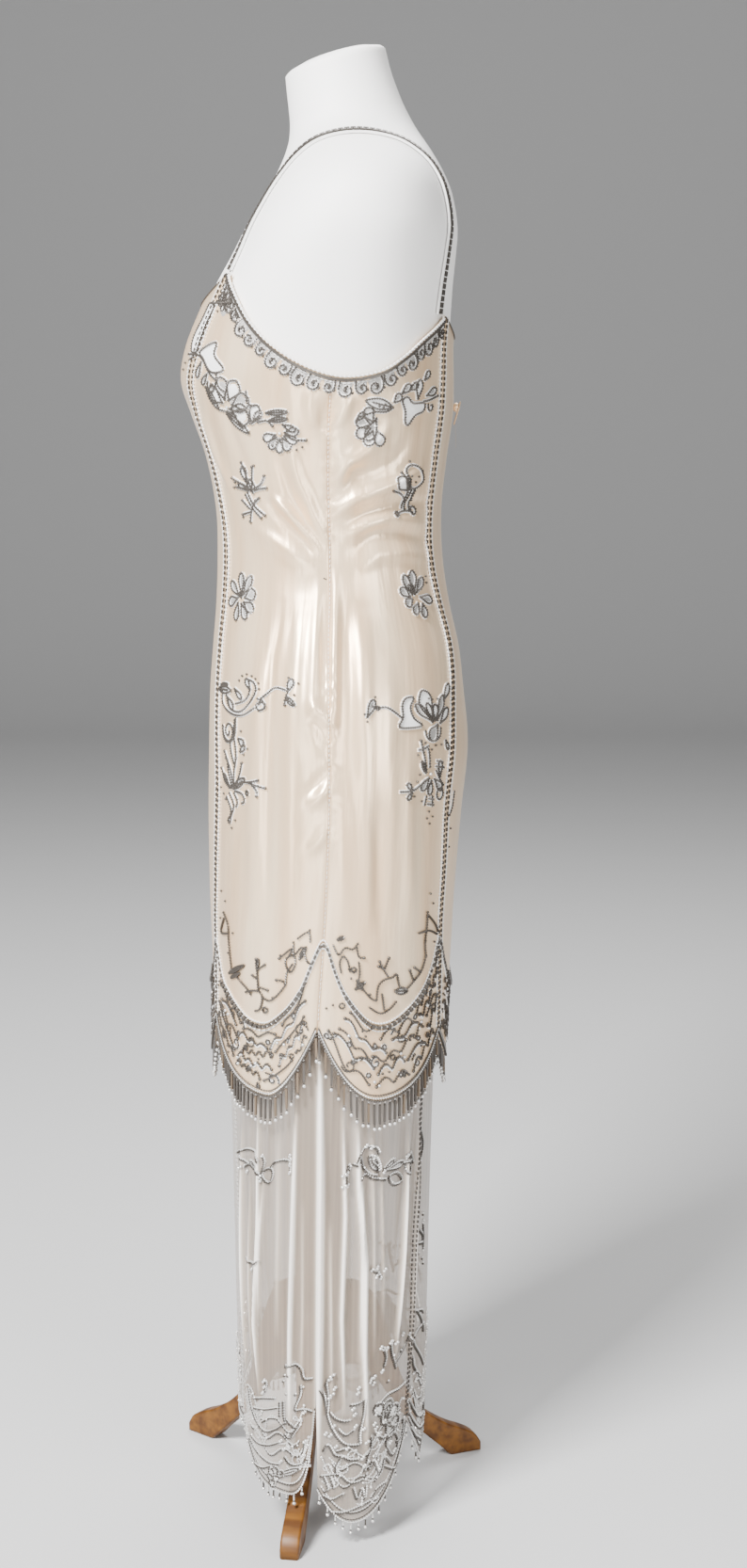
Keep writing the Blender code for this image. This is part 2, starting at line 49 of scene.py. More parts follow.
BODY = [
    # height, centre, half_width, front, back, squareness, ease
    (0.430, 0.000, 0.1620, -0.1122, 0.1088, 2.30, 0.0040),
    (0.500, 0.000, 0.1640, -0.1112, 0.1118, 2.30, 0.0040),
    (0.560, 0.000, 0.1670, -0.1110, 0.1150, 2.30, 0.0040),
    (0.620, 0.000, 0.1700, -0.1128, 0.1182, 2.30, 0.0040),
    (0.700, 0.000, 0.1720, -0.1132, 0.1245, 2.30, 0.0040),
    (0.765, 0.000, 0.1690, -0.1120, 0.1305, 2.25, 0.0040),
    (0.820, 0.000, 0.1590, -0.1105, 0.1258, 2.20, 0.0040),
    (0.860, 0.000, 0.1460, -0.1074, 0.1210, 2.20, 0.0040),
    (0.900, 0.000, 0.1320, -0.1040, 0.1120, 2.20, 0.0040),
    (0.945, 0.000, 0.1225, -0.1023, 0.1052, 2.20, 0.0040),
    (0.990, 0.000, 0.1240, -0.1032, 0.1039, 2.20, 0.0040),
    (1.040, 0.000, 0.1330, -0.1123, 0.1090, 2.20, 0.0040),
    (1.080, 0.001, 0.1410, -0.1260, 0.1145, 2.20, 0.0040),
    (1.110, 0.003, 0.1460, -0.1350, 0.1150, 2.20, 0.0040),
    (1.140, 0.006, 0.1490, -0.1305, 0.1145, 2.20, 0.0040),
    (1.170, 0.010, 0.1540, -0.1185, 0.1160, 2.20, 0.0040),
    (1.200, 0.014, 0.1610, -0.1040, 0.1180, 2.20, 0.0038),
    (1.225, 0.017, 0.1670, -0.0895, 0.1205, 2.20, 0.0035),
    (1.250, 0.022, 0.1700, -0.0765, 0.1220, 2.20, 0.0020),
    (1.280, 0.028, 0.1640, -0.0590, 0.1170, 2.15, 0.0020),
    (1.300, 0.031, 0.1460, -0.0470, 0.1090, 2.10, 0.0020),
    (1.318, 0.031, 0.1130, -0.0395, 0.0990, 2.00, 0.0020),
    (1.330, 0.028, 0.0850, -0.0362, 0.0910, 2.00, 0.0020),
    (1.345, 0.023, 0.0640, -0.0352, 0.0800, 2.00, 0.0020),
    (1.362, 0.016, 0.0560, -0.0360, 0.0690, 2.00, 0.0020),
    (1.382, 0.011, 0.0520, -0.0376, 0.0595, 2.00, 0.0020),
    (1.400, 0.008, 0.0500, -0.0391, 0.0543, 2.00, 0.0020),
]
FORM_BOTTOM = 0.660
NECK_TILT = 0.28
NECK_TILT_START = 1.332
NECK_TOP = 1.400
BUTTON_HEIGHT = 1.085
BUTTON_RADIUS = 0.0045
NECK_DOME = [(0.97, 0.0016), (0.93, 0.0030), (0.70, 0.0065), (0.35, 0.0085), (0.02, 0.0090)]

SEAMS = [
    # height, front, side, back
    (0.430, -56.0, -3.0, 51.0),
    (0.510, -55.0, -3.0, 50.0),
    (0.600, -52.0, -1.0, 47.0),
    (0.650, -49.0, 0.0, 47.0),
    (0.730, -46.5, 1.0, 46.5),
    (0.790, -49.5, 1.0, 51.5),
    (0.840, -52.5, 1.0, 58.0),
    (0.880, -54.5, 1.0, 60.0),
    (0.915, -54.5, 1.5, 57.0),
    (0.960, -55.0, 1.5, 54.0),
    (1.010, -59.0, 1.0, 54.0),
    (1.080, -62.0, 1.0, 53.5),
    (1.150, -55.0, 1.0, 52.5),
    (1.206, -47.0, 1.0, 50.0),
]
ARMHOLE = [
    # angle, height
    (-47.0, 1.206),
    (-37.0, 1.183),
    (-30.0, 1.163),
    (-22.0, 1.144),
    (-12.0, 1.127),
    (-1.0, 1.1155),
    (8.0, 1.113),
    (19.0, 1.119),
    (27.0, 1.131),
    (36.0, 1.147),
    (52.0, 1.168),
]
NECK_FRONT = 1.180
NECK_BACK = 1.150
SATIN_SCALLOPS = [
    # start_angle, start_height, low_angle, low_height, end_angle, end_height, start_power, end_power
    (-125.0, 0.509, -90.0, 0.456, -55.0, 0.509, 2.0, 2.0),
    (-55.0, 0.509, -20.0, 0.452, -3.0, 0.520, 2.0, 1.7),
    (-3.0, 0.520, 18.0, 0.4485, 50.0, 0.497, 2.2, 2.0),
    (50.0, 0.497, 90.0, 0.450, 130.0, 0.497, 2.0, 2.0),
]
NET = [
    # height, half_width, front, back
    (0.020, 0.1490, -0.0890, 0.0935),
    (0.100, 0.1500, -0.0930, 0.0945),
    (0.200, 0.1520, -0.0952, 0.0972),
    (0.300, 0.1540, -0.0965, 0.0990),
    (0.400, 0.1560, -0.0980, 0.1015),
    (0.480, 0.1580, -0.1000, 0.1040),
    (0.600, 0.1640, -0.1060, 0.1100),
]
NET_SQUARENESS = 2.3
NET_TOP = 0.600
NET_FREE_TOP = 0.585
NET_FREE_BOTTOM = 0.460
NET_SEAMS = [
    # height, front, side, back
    (0.020, -49.0, -4.5, 35.0),
    (0.100, -49.5, -4.5, 35.5),
    (0.200, -49.0, -4.5, 38.0),
    (0.300, -50.0, -4.0, 39.5),
    (0.420, -51.0, -3.0, 44.0),
    (0.600, -52.0, -1.0, 47.0),
]
NET_SCALLOPS = [
    # start_angle, start_height, low_angle, low_height, end_angle, end_height, start_power, end_power
    (-130.5, 0.097, -90.0, 0.086, -49.5, 0.097, 2.0, 2.0),
    (-49.5, 0.097, -23.0, 0.049, -4.5, 0.150, 2.0, 6.0),
    (-4.5, 0.060, 9.0, 0.0235, 35.5, 0.106, 2.0, 2.0),
    (35.5, 0.106, 54.0, 0.053, 90.0, 0.118, 1.2, 1.1),
    (90.0, 0.118, 126.0, 0.053, 144.5, 0.106, 1.1, 1.2),
]

# Folds are lines on the cloth with a half width and a rise, below zero for a trough.
FOLD_STRENGTH = 1.6
DEEPEST_TROUGH = -0.0026
FOLD_HEIGHT = 0.0055
SATIN_FOLDS = [
    ([(-18.4, 1.041), (-14.7, 1.010), (-8.6, 0.982), (-0.6, 0.960)], 0.0030, -0.0026),
    ([(-21.7, 1.006), (-15.5, 0.993), (-9.4, 0.979), (-4.0, 0.964)], 0.0042, 0.0042),
    ([(-26.2, 1.005), (-20.2, 0.989), (-12.6, 0.971), (-5.2, 0.955)], 0.0036, -0.0026),
    ([(-14.0, 1.055), (-10.3, 1.021), (-4.7, 0.989), (0.2, 0.966)], 0.0050, 0.0036),
    ([(-33.3, 0.978), (-22.6, 0.966), (-12.3, 0.952), (-4.5, 0.943)], 0.0070, 0.0022),
    ([(2.1, 0.989), (11.9, 1.004), (21.1, 1.012), (32.5, 1.020), (43.4, 1.030)], 0.0060, 0.0046),
    ([(3.6, 1.007), (11.6, 1.025), (19.8, 1.032), (27.8, 1.040), (33.3, 1.056)], 0.0055, -0.0026),
    ([(2.9, 1.023), (9.2, 1.037), (16.2, 1.048), (22.4, 1.065)], 0.0060, 0.0030),
    ([(8.6, 1.027), (11.1, 1.031), (13.7, 1.032)], 0.0025, -0.0018),
    ([(8.3, 0.971), (16.9, 0.981), (26.2, 0.986), (48.5, 0.981)], 0.0050, 0.0034),
    ([(9.8, 0.985), (19.2, 0.993), (29.6, 0.999), (52.9, 0.999)], 0.0040, -0.0026),
    ([(11.4, 0.957), (20.2, 0.972), (32.6, 0.971), (50.1, 0.964)], 0.0055, -0.0024),
    ([(12.9, 0.940), (22.0, 0.953), (34.2, 0.954), (52.7, 0.948)], 0.0070, 0.0024),
    ([(4.0, 0.937), (3.4, 0.895), (2.7, 0.845), (2.3, 0.796)], 0.0045, 0.0034),
    ([(8.2, 0.911), (7.1, 0.862), (6.7, 0.812), (6.9, 0.754)], 0.0065, -0.0026),
    ([(14.0, 0.903), (12.5, 0.829), (12.0, 0.728), (12.9, 0.623)], 0.0080, 0.0030),
    ([(-2.5, 0.928), (-3.6, 0.878), (-4.0, 0.829), (-4.3, 0.779)], 0.0060, 0.0030),
    ([(-9.0, 0.911), (-10.0, 0.862), (-10.4, 0.795), (-10.8, 0.693), (-11.8, 0.605)], 0.0070, 0.0024),
    ([(-0.6, 0.912), (-0.5, 0.862), (-0.7, 0.813)], 0.0040, -0.0018),
    ([(-17.5, 0.911), (-19.3, 0.861), (-18.5, 0.794), (-18.3, 0.699), (-18.7, 0.621)], 0.0030, -0.0018),
    ([(-24.1, 0.860), (-23.2, 0.776), (-23.9, 0.619)], 0.0070, 0.0020),
    ([(-4.6, 0.811), (-1.8, 0.801), (0.8, 0.787)], 0.0045, -0.0026),
    ([(-4.2, 0.824), (-0.8, 0.814), (1.4, 0.803)], 0.0045, 0.0030),
    ([(-5.2, 0.744), (-2.4, 0.752), (0.2, 0.764)], 0.0040, -0.0026),
    ([(-4.8, 0.731), (-1.6, 0.740), (0.8, 0.751)], 0.0045, 0.0026),
    ([(-4.4, 0.690), (-1.8, 0.700), (0.6, 0.716)], 0.0045, 0.0022),
    ([(4.4, 0.754), (4.9, 0.694), (5.4, 0.615)], 0.0070, 0.0024),
    ([(21.3, 0.861), (19.3, 0.778), (19.7, 0.638)], 0.0080, 0.0022),
    ([(26.0, 0.776), (26.3, 0.689), (28.0, 0.617)], 0.0070, 0.0018),
    ([(15.2, 0.727), (15.5, 0.675), (16.0, 0.613)], 0.0050, -0.0018),
    ([(2.5, 1.096), (0.8, 1.082), (-0.8, 1.064)], 0.0050, -0.0026),
    ([(7.5, 1.098), (6.2, 1.084), (4.0, 1.068)], 0.0060, 0.0030),
    ([(-5.5, 1.104), (-5.8, 1.086), (-4.4, 1.066)], 0.0060, 0.0026),
    ([(5.2, 1.067), (6.4, 1.030), (5.1, 1.005)], 0.0060, 0.0016),
    ([(-56.6, 1.079), (-54.8, 1.045), (-45.7, 1.011)], 0.0060, 0.0018),
    ([(-40.8, 1.092), (-37.3, 1.054), (-33.3, 1.029)], 0.0060, -0.0014),
    ([(-12.5, 1.113), (-11.6, 1.080), (-9.8, 1.047)], 0.0060, 0.0014),
]
NET_FOLDS = [
    ([(-27.2, 0.440), (-28.1, 0.317), (-32.1, 0.218), (-30.5, 0.142)], 0.0018, 0.0045),
    ([(-24.9, 0.367), (-27.9, 0.289), (-30.0, 0.220)], 0.0014, 0.0030),
    ([(-10.7, 0.439), (-12.3, 0.327), (-13.9, 0.213), (-14.8, 0.116)], 0.0022, 0.0050),
    ([(-2.4, 0.495), (-2.3, 0.376), (-2.9, 0.235), (-3.9, 0.081)], 0.0030, 0.0060),
    ([(5.2, 0.440), (6.1, 0.338), (4.8, 0.235), (5.8, 0.139)], 0.0018, 0.0045),
    ([(10.4, 0.430), (10.8, 0.365), (13.3, 0.289), (13.1, 0.194), (14.8, 0.097)], 0.0024, 0.0050),
    ([(12.2, 0.374), (11.9, 0.290), (11.3, 0.186)], 0.0014, 0.0025),
    ([(-40.7, 0.402), (-43.2, 0.276), (-43.1, 0.159)], 0.0030, 0.0035),
    ([(-34.4, 0.350), (-36.3, 0.253), (-36.1, 0.176)], 0.0016, 0.0025),
    ([(-8.7, 0.347), (-9.1, 0.234), (-10.0, 0.167)], 0.0016, 0.0018),
    ([(0.9, 0.329), (1.1, 0.235), (1.3, 0.139)], 0.0018, 0.0020),
    ([(33.7, 0.408), (31.3, 0.287), (27.5, 0.184)], 0.0024, 0.0040),
    ([(42.6, 0.401), (40.5, 0.279), (38.8, 0.164)], 0.0030, 0.0030),
    ([(19.5, 0.389), (20.6, 0.304), (21.4, 0.228)], 0.0016, 0.0018),
    ([(16.0, 0.419), (16.7, 0.297), (17.3, 0.192)], 0.0020, 0.0022),
    ([(-17.8, 0.418), (-18.4, 0.324), (-20.0, 0.209)], 0.0024, 0.0018),
]


def curve_of(table, column):
    """A smooth curve through one column of a table, by its first column."""
    x = np.array([row[0] for row in table], float)
    y = np.array([row[column] for row in table], float)
    last = len(x) - 1
    low = np.maximum(np.arange(last + 1) - 1, 0)
    high = np.minimum(np.arange(last + 1) + 1, last)
    slopes = (y[high] - y[low]) / (x[high] - x[low])

    def read(value):
        value = np.clip(np.asarray(value, float), x[0], x[-1])
        row = np.clip(np.searchsorted(x, value, side="right") - 1, 0, last - 1)
        step = x[row + 1] - x[row]
        s = (value - x[row]) / step
        lift = (s ** 3 - 2 * s ** 2 + s) * slopes[row] + (s ** 3 - s ** 2) * slopes[row + 1]
        return y[row] + (y[row + 1] - y[row]) * s * s * (3 - 2 * s) + lift * step

    return read


def ease_in_out(low, high, value):
    s = np.clip((value - low) / (high - low), 0.0, 1.0)
    return s * s * (3 - 2 * s)


BODY_CURVES = [curve_of(BODY, column) for column in range(1, 7)]
NET_CURVES = [curve_of(NET, column) for column in range(1, 4)]
SEAM_CURVES = [curve_of(SEAMS, column) for column in range(1, 4)]
NET_SEAM_CURVES = [curve_of(NET_SEAMS, column) for column in range(1, 4)]
armhole = curve_of(ARMHOLE, 1)


def oval_point(angle, height, centre, half_width, front, back, squareness):
    turn = np.radians(angle)
    cosine, sine = np.cos(turn), np.sin(turn)
    depth = np.where(sine > 0, back - centre, centre - front)
    across, along = np.abs(cosine) / half_width, np.abs(sine) / depth
    radius = (across ** squareness + along ** squareness) ** (-1 / squareness)
    return np.stack([radius * cosine, centre + radius * sine, height + 0 * radius], axis=-1)


def body_point(angle, height, out=0.0):
    centre, half_width, front, back, squareness = (read(height) for read in BODY_CURVES[:5])
    return oval_point(angle, height, centre, half_width + out, front - out, back + out, squareness)


def near_angle(angle):
    """The angle on the left half that mirrors this one."""
    return np.where(angle > 90, 180 - angle, np.where(angle < -90, -180 - angle, angle))


def grid_reader(turns, heights, values):
    """Read between the values of an even grid, whose rows are heights and columns are angles."""
    turn_step, height_step = turns[1] - turns[0], heights[1] - heights[0]

    def read(angle, height):
        column = np.clip((angle - turns[0]) / turn_step, 0, len(turns) - 1.01)
        row = np.clip((height - heights[0]) / height_step, 0, len(heights) - 1.01)
        column, row = np.broadcast_arrays(column, row)
        i, j = row.astype(int), column.astype(int)
        u, v = row - i, column - j
        if values.ndim == 3:
            u, v = u[..., None], v[..., None]
        lower = values[i, j] * (1 - v) + values[i, j + 1] * v
        upper = values[i + 1, j] * (1 - v) + values[i + 1, j + 1] * v
        return lower * (1 - u) + upper * u

    return read


def fold_map(folds, radius, turn_step, low, high, height_step, extra=None):
    """Work out on a fine grid how far the folds lift the cloth, and return a reader of the grid."""
    turns = np.arange(-90, 90 + turn_step, turn_step)
    heights = np.arange(low, high, height_step)
    height, across = np.meshgrid(heights, np.radians(turns) * radius, indexing="ij")
    rise = np.zeros(height.shape)
    for line, half_width, lift in folds:
        best = np.full(rise.shape, 9.0)
        along = np.zeros(rise.shape)
        stretches = list(zip(line, line[1:]))
        for index, ((a0, h0), (a1, h1)) in enumerate(stretches):
            x0, run_x, run_y = math.radians(a0) * radius, math.radians(a1 - a0) * radius, h1 - h0
            share = ((across - x0) * run_x + (height - h0) * run_y) / (run_x ** 2 + run_y ** 2)
            share = np.clip(share, 0.0, 1.0)
            distance = np.hypot(across - x0 - run_x * share, height - h0 - run_y * share)
            closer = distance < best
            along = np.where(closer, (index + share) / len(stretches), along)
            best = np.where(closer, distance, best)
        fade = 1 - 0.8 * np.abs(2 * along - 1) ** 2.5
        rise += FOLD_STRENGTH * lift * fade * np.exp(-(best / half_width) ** 2)
    if extra:
        rise += extra(across, height)
    read = grid_reader(turns, heights, np.maximum(rise, DEEPEST_TROUGH))
    return lambda angle, height: read(near_angle(angle), height)


def seam_puckers(across, height):
    """Small uneven dimples where the side seam's thread draws the satin in."""
    window = (ease_in_out(0.955, 0.975, height) * (1 - ease_in_out(1.085, 1.100, height))
              + ease_in_out(0.690, 0.710, height) * (1 - ease_in_out(0.850, 0.870, height)))
    wave = np.cos(2 * math.pi * height / 0.0115 + 1.6 * np.sin(70 * height))
    wave = wave * (0.6 + 0.4 * np.sin(190 * height))
    return 0.0013 * window * wave * np.exp(-((across - 0.0035) / 0.0045) ** 2)


satin_folds = fold_map(SATIN_FOLDS, 0.13, 0.5, 0.430, 1.215, 0.0015, seam_puckers)
net_folds = fold_map(NET_FOLDS, 0.12, 0.25, 0.015, 0.605, 0.005)


def satin(angle, height, out=0.0):
    return body_point(angle, height, BODY_CURVES[5](height) + satin_folds(angle, height) + out)


def net(angle, height, out=0.0):
    rise = net_folds(angle, height) * (1 - ease_in_out(NET_FREE_BOTTOM, NET_FREE_TOP, height)) + out
    half_width, front, back = (read(height) for read in NET_CURVES)
    free = oval_point(angle, height, 0.0, half_width + rise, front - rise, back + rise, NET_SQUARENESS)
    held = satin(angle, height, out - SATIN_THICKNESS - NET_GAP)
    return free + (held - free) * ease_in_out(NET_FREE_BOTTOM, NET_FREE_TOP, height)[..., None]


def hem_curve(scallops):
    rows = np.array(scallops)

    def read(angle):
        angle = np.asarray(angle, float)
        row = rows[np.clip(np.searchsorted(rows[:, 4], angle), 0, len(rows) - 1)]
        start, start_height, low_angle, low, end, end_height, power, end_power = np.moveaxis(row, -1, 0)
        left = np.clip((low_angle - angle) / (low_angle - start), 0, 1) ** power
        right = np.clip((angle - low_angle) / (end - low_angle), 0, 1) ** end_power
        return low + (start_height - low) * left + (end_height - low) * right

    return read


satin_hem = hem_curve(SATIN_SCALLOPS)
net_hem = hem_curve(NET_SCALLOPS)


def front_neck(angle):
    return NECK_FRONT + (ARMHOLE[0][1] - NECK_FRONT) * np.minimum(np.abs(angle + 90) / 43, 1) ** 2


def back_neck(angle):
    return NECK_BACK + (ARMHOLE[-1][1] - NECK_BACK) * np.minimum(np.abs(angle - 90) / 38, 1) ** 2


def net_top(angle):
    return NET_TOP + 0 * angle


def make_material(name, color, roughness, **inputs):
    """A Principled material, with its other inputs given by their names' words."""
    material = bpy.data.materials.new(name)
    material.use_nodes = True
    shader = material.node_tree.nodes["Principled BSDF"]
    shader.inputs["Base Color"].default_value = (*color, 1.0)
    shader.inputs["Roughness"].default_value = roughness
    for words, value in inputs.items():
        shader.inputs[words.replace("_", " ")].default_value = value
    return material


def add_node(material, kind, **settings):
    node = material.node_tree.nodes.new(kind)
    for key, value in settings.items():
        if key in node.inputs:
            node.inputs[key].default_value = value
        else:
            setattr(node, key, value)
    return node


def link_nodes(material, *links):
    """Join nodes, each link a node, its output, the next node or None for the shader, and its input."""
    shader = material.node_tree.nodes["Principled BSDF"]
    for source, output, target, socket in links:
        material.node_tree.links.new(source.outputs[output], (target or shader).inputs[socket])


def add_noise(material, coordinate, stretch, scale, detail):
    """A noise that is stretched along the axes of its coordinates."""
    place = add_node(material, "ShaderNodeTexCoord")
    mapping = add_node(material, "ShaderNodeMapping", Scale=stretch)
    noise = add_node(material, "ShaderNodeTexNoise", Scale=scale, Detail=detail)
    link_nodes(material, (place, coordinate, mapping, "Vector"), (mapping, "Vector", noise, "Vector"))
    return noise


def add_ramp(material, *stops):
    """A colour ramp through its stops, each a position and a colour."""
    ramp = add_node(material, "ShaderNodeValToRGB")
    elements = ramp.color_ramp.elements
    for element, (position, color) in zip(elements, (stops[0], stops[-1])):
        element.position = position
        element.color = (*color, 1.0)
    for position, color in stops[1:-1]:
        elements.new(position).color = (*color, 1.0)
    return ramp


def add_mottle(material, coordinate, stretch, scale, low, high):
    """Vary the colour between two tones by a noise."""
    noise = add_noise(material, coordinate, stretch, scale, 4.0)
    ramp = add_ramp(material, (0.35, low), (0.65, high))
    link_nodes(material, (noise, "Fac", ramp, "Fac"), (ramp, "Color", None, "Base Color"))


def add_bump(material, coordinate, layers):
    """Bump a material with noise layers, each a stretch, a scale, a strength and a depth in metres."""
    below = None
    for stretch, scale, strength, depth in layers:
        noise = add_noise(material, coordinate, stretch, scale, 3.0)
        bump = add_node(material, "ShaderNodeBump", Strength=strength, Distance=depth)
        link_nodes(material, (noise, "Fac", bump, "Height"))
        if below:
            link_nodes(material, (below, "Normal", bump, "Normal"))
        below = bump
    link_nodes(material, (below, "Normal", None, "Normal"))


def make_net():
    """Tulle, half clear and denser along its folds and fine gathers; its colour is painted light, a smoky
    painted shade on the flat net that turns ivory along the fold ridges, partly the denser cloth there and
    partly a painted highlight.
    """
    material = make_material("ivory_net", (0.9, 0.9, 0.9), 0.5, Sheen_Weight=0.3)
    fold = add_node(material, "ShaderNodeAttribute", attribute_name="fold")
    # Colour by fold rise: a painted smoky shade on the flat net, ivory as a painted highlight along the
    # ridges.
    painted_fold_light = add_ramp(material, (0.0, (0.33, 0.27, 0.215)), (0.45, (0.50, 0.42, 0.34)),
                    (0.92, (0.95, 0.89, 0.82)))
    density = add_node(material, "ShaderNodeMapRange", **{"To Min": 0.52, "To Max": 0.90})
    noise = add_noise(material, "UV", (26.0, 0.5, 1.0), 6.0, 2.0)
    gathers = add_node(material, "ShaderNodeMapRange",
                       **{"From Min": 0.35, "From Max": 0.75, "To Min": 0.0, "To Max": 0.18})
    both = add_node(material, "ShaderNodeMath", operation="ADD", use_clamp=True)
    link_nodes(
        material,
        (fold, "Fac", painted_fold_light, "Fac"), (painted_fold_light, "Color", None, "Base Color"), (fold, "Fac", density, "Value"),
        (noise, "Fac", gathers, "Value"), (density, "Result", both, 0), (gathers, "Result", both, 1),
        (both, "Value", None, "Alpha"),
    )
    return material


SATIN = make_material("ivory_satin", (0.80, 0.60, 0.40), 0.31, Metallic=0.42, Specular_IOR_Level=0.8,
                      Sheen_Weight=0.1)
add_mottle(SATIN, "UV", (7.0, 0.9, 1.0), 3.0, (0.755, 0.525, 0.315), (0.89, 0.69, 0.465))
add_bump(SATIN, "UV", [((9.0, 1.5, 1.0), 4.0, 0.42, 0.005), ((900.0, 900.0, 1.0), 2.0, 0.08, 0.0002)])
NET_CLOTH = make_net()
FORM_COVER = make_material("form_cover", (0.90, 0.885, 0.865), 0.6, Sheen_Weight=0.1)
add_bump(FORM_COVER, "Object", [((1.0, 1.0, 1.0), 700.0, 0.10, 0.0004), ((1.0, 1.0, 1.0), 14.0, 0.15, 0.002)])
WOOD = make_material("amber_wood", (0.105, 0.037, 0.003), 0.45, Specular_IOR_Level=0.35)
add_mottle(WOOD, "Object", (7.0, 7.0, 1.0), 14.0, (0.070, 0.023, 0.002), (0.160, 0.062, 0.006))
GUNMETAL = make_material("gunmetal_beads", (0.080, 0.070, 0.061), 0.34, Metallic=0.5)
BRONZE = make_material("bronze_beads", (0.17, 0.125, 0.085), 0.3, Metallic=0.6)
SILVER = make_material("silver_beads", (0.66, 0.645, 0.62), 0.2, Metallic=0.45, Coat_Weight=0.5)
WHITE_FILL = make_material("white_embroidery", (0.86, 0.85, 0.83), 0.45, Sheen_Weight=0.3)
GREY_FILL = make_material("grey_embroidery", (0.40, 0.385, 0.365), 0.45, Metallic=0.3)
for fill in (WHITE_FILL, GREY_FILL):
    add_bump(fill, "Object", [((1.0, 1.0, 1.0), 1400.0, 0.7, 0.0008)])
TAN_CORD = make_material("tan_cord", (0.52, 0.36, 0.22), 0.6)
# One tone is a painted shadow: gunmetal copies of light bead lines, laid just beside them.
TONES = {"shade": GUNMETAL, "dark": GUNMETAL, "bronze": BRONZE, "light": SILVER, "white": WHITE_FILL,
         "grey": GREY_FILL}


def add_object(name, data, location=(0, 0, 0), rotation=(0, 0, 0)):
    item = bpy.data.objects.new(name, data)
    item.location = location
    item.rotation_euler = rotation
    bpy.context.scene.collection.objects.link(item)
    return item


def add_piece(name, data, slot, node=None, **place):
    """Add a piece that rides the part's body, and stands in for a node of the part if one is named."""
    item = add_object(name, data, **place)
    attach(item, "root")
    if node:
        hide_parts(node)
    return item


def make_mesh(name, points, faces, material):
    mesh = bpy.data.meshes.new(name)
    faces = faces if isinstance(faces, list) else faces.tolist()
    mesh.from_pydata(np.asarray(points).reshape(-1, 3).tolist(), [], faces)
    mesh.shade_smooth()
    mesh.materials.append(material)
    return mesh


def add_spline(curve, kind, points):
    spline = curve.splines.new(kind)
    spline.points.add(len(points) - 1)
    for target, place in zip(spline.points, points):
        target.co = (*place, 1.0)
    return spline


def grid_faces(columns, rows, closed=False):
    """Faces of a grid whose points run along each row, with columns + 1 points unless closed."""
    across = columns if closed else columns + 1
    low = np.arange(rows)[:, None] * across
    step = np.arange(columns)[None, :]
    after = (step + 1) % across
    return np.stack([low + step, low + after, low + across + after, low + across + step], -1).reshape(-1, 4)


def panel_angle(sides, across, height):
    left, right = (side(height) for side in sides)
    return left + (right - left) * across


EDGE_STEPS = 25


def edge_height(edge, sides, across):
    """Where an edge that is given by angle crosses the lines between two slanting seams."""
    height = edge(panel_angle(sides, across, NET_TOP))
    for _ in range(EDGE_STEPS):
        height = edge(panel_angle(sides, across, height))
    return height


UV_WIDTH = 0.17
SEAM_DIP_WIDTH = 0.0025
SATIN_TOPS = (front_neck, armhole, back_neck)
NET_TOPS = (net_top, net_top, net_top)
CLOTHS = {
    # cloth: (seams, tops of front, side and back, hem, columns, rows, wall, dip at the seams, material)
    satin: (SEAM_CURVES, SATIN_TOPS, satin_hem, 56, 220, SATIN_THICKNESS, 0.0008, SATIN),
    net: (NET_SEAM_CURVES, NET_TOPS, net_hem, 110, 50, 0.0, 0.0, NET_CLOTH),
}
NARROW_PANEL = 0.6


def add_panel(cloth, part, sides, top, share):
    """One cut panel from seam to seam and from its hem to its top edge."""
    hem, columns, rows, thickness, seam_dip, material = CLOTHS[cloth][2:]
    columns, rows = round(columns * share), round(rows * share)
    across = np.linspace(0, 1, columns + 1)[None, :]
    up = np.linspace(0, 1, rows + 1)[:, None]
    low, high = edge_height(hem, sides, across), edge_height(top, sides, across)
    height = low + (high - low) * up
    angle = panel_angle(sides, across, height)
    from_seam = np.minimum(across, 1 - across) * UV_WIDTH
    points = cloth(angle, height, -seam_dip * np.exp(-(from_seam / SEAM_DIP_WIDTH) ** 2))
    faces = grid_faces(columns, rows)
    if part.endswith("right"):
        points = points * (-1, 1, 1)
        faces = faces[:, ::-1]
    prefix = cloth.__name__
    name = f"{prefix}_panel_{part}"
    mesh = make_mesh(name, points, faces, material)
    uv = np.stack([across * UV_WIDTH + 0 * height, height], -1).reshape(-1, 2)
    corners = np.zeros(len(mesh.loops), int)
    mesh.loops.foreach_get("vertex_index", corners)
    mesh.uv_layers.new(name="cloth").data.foreach_set("uv", uv[corners].ravel())
    # The net's fold rise, stored for its material: it sets the net's density and picks its colour, a painted
    # highlight along the ridges over a painted smoky shade.
    if cloth is net:
        bend = np.clip(net_folds(angle, height) / FOLD_HEIGHT, 0, 1)
        fold = mesh.attributes.new("fold", "FLOAT", "POINT")
        fold.data.foreach_set("value", bend.astype(np.float32).ravel())
    item = add_piece(name, mesh, prefix, f"{prefix}_{part}")
    if thickness:
        wall = item.modifiers.new("Thickness", "SOLIDIFY")
        wall.thickness = thickness
        wall.offset = -1.0


def far(read, sign):
    """The seam that mirrors a front (-1) or back (1) seam on the far side."""
    return lambda height: 180 * sign - read(height)


def add_panels(cloth):
    (front, side, back), (front_top, side_top, back_top) = CLOTHS[cloth][:2]
    add_panel(cloth, "front", (far(front, -1), front), front_top, NARROW_PANEL)
    add_panel(cloth, "back", (back, far(back, 1)), back_top, NARROW_PANEL)
    for part, sides in (("side_front", (front, side)), ("side_back", (side, back))):
        add_panel(cloth, f"{part}_left", sides, side_top, 1.0)
        add_panel(cloth, f"{part}_right", sides, side_top, 1.0)


FORM_SIDES = 128


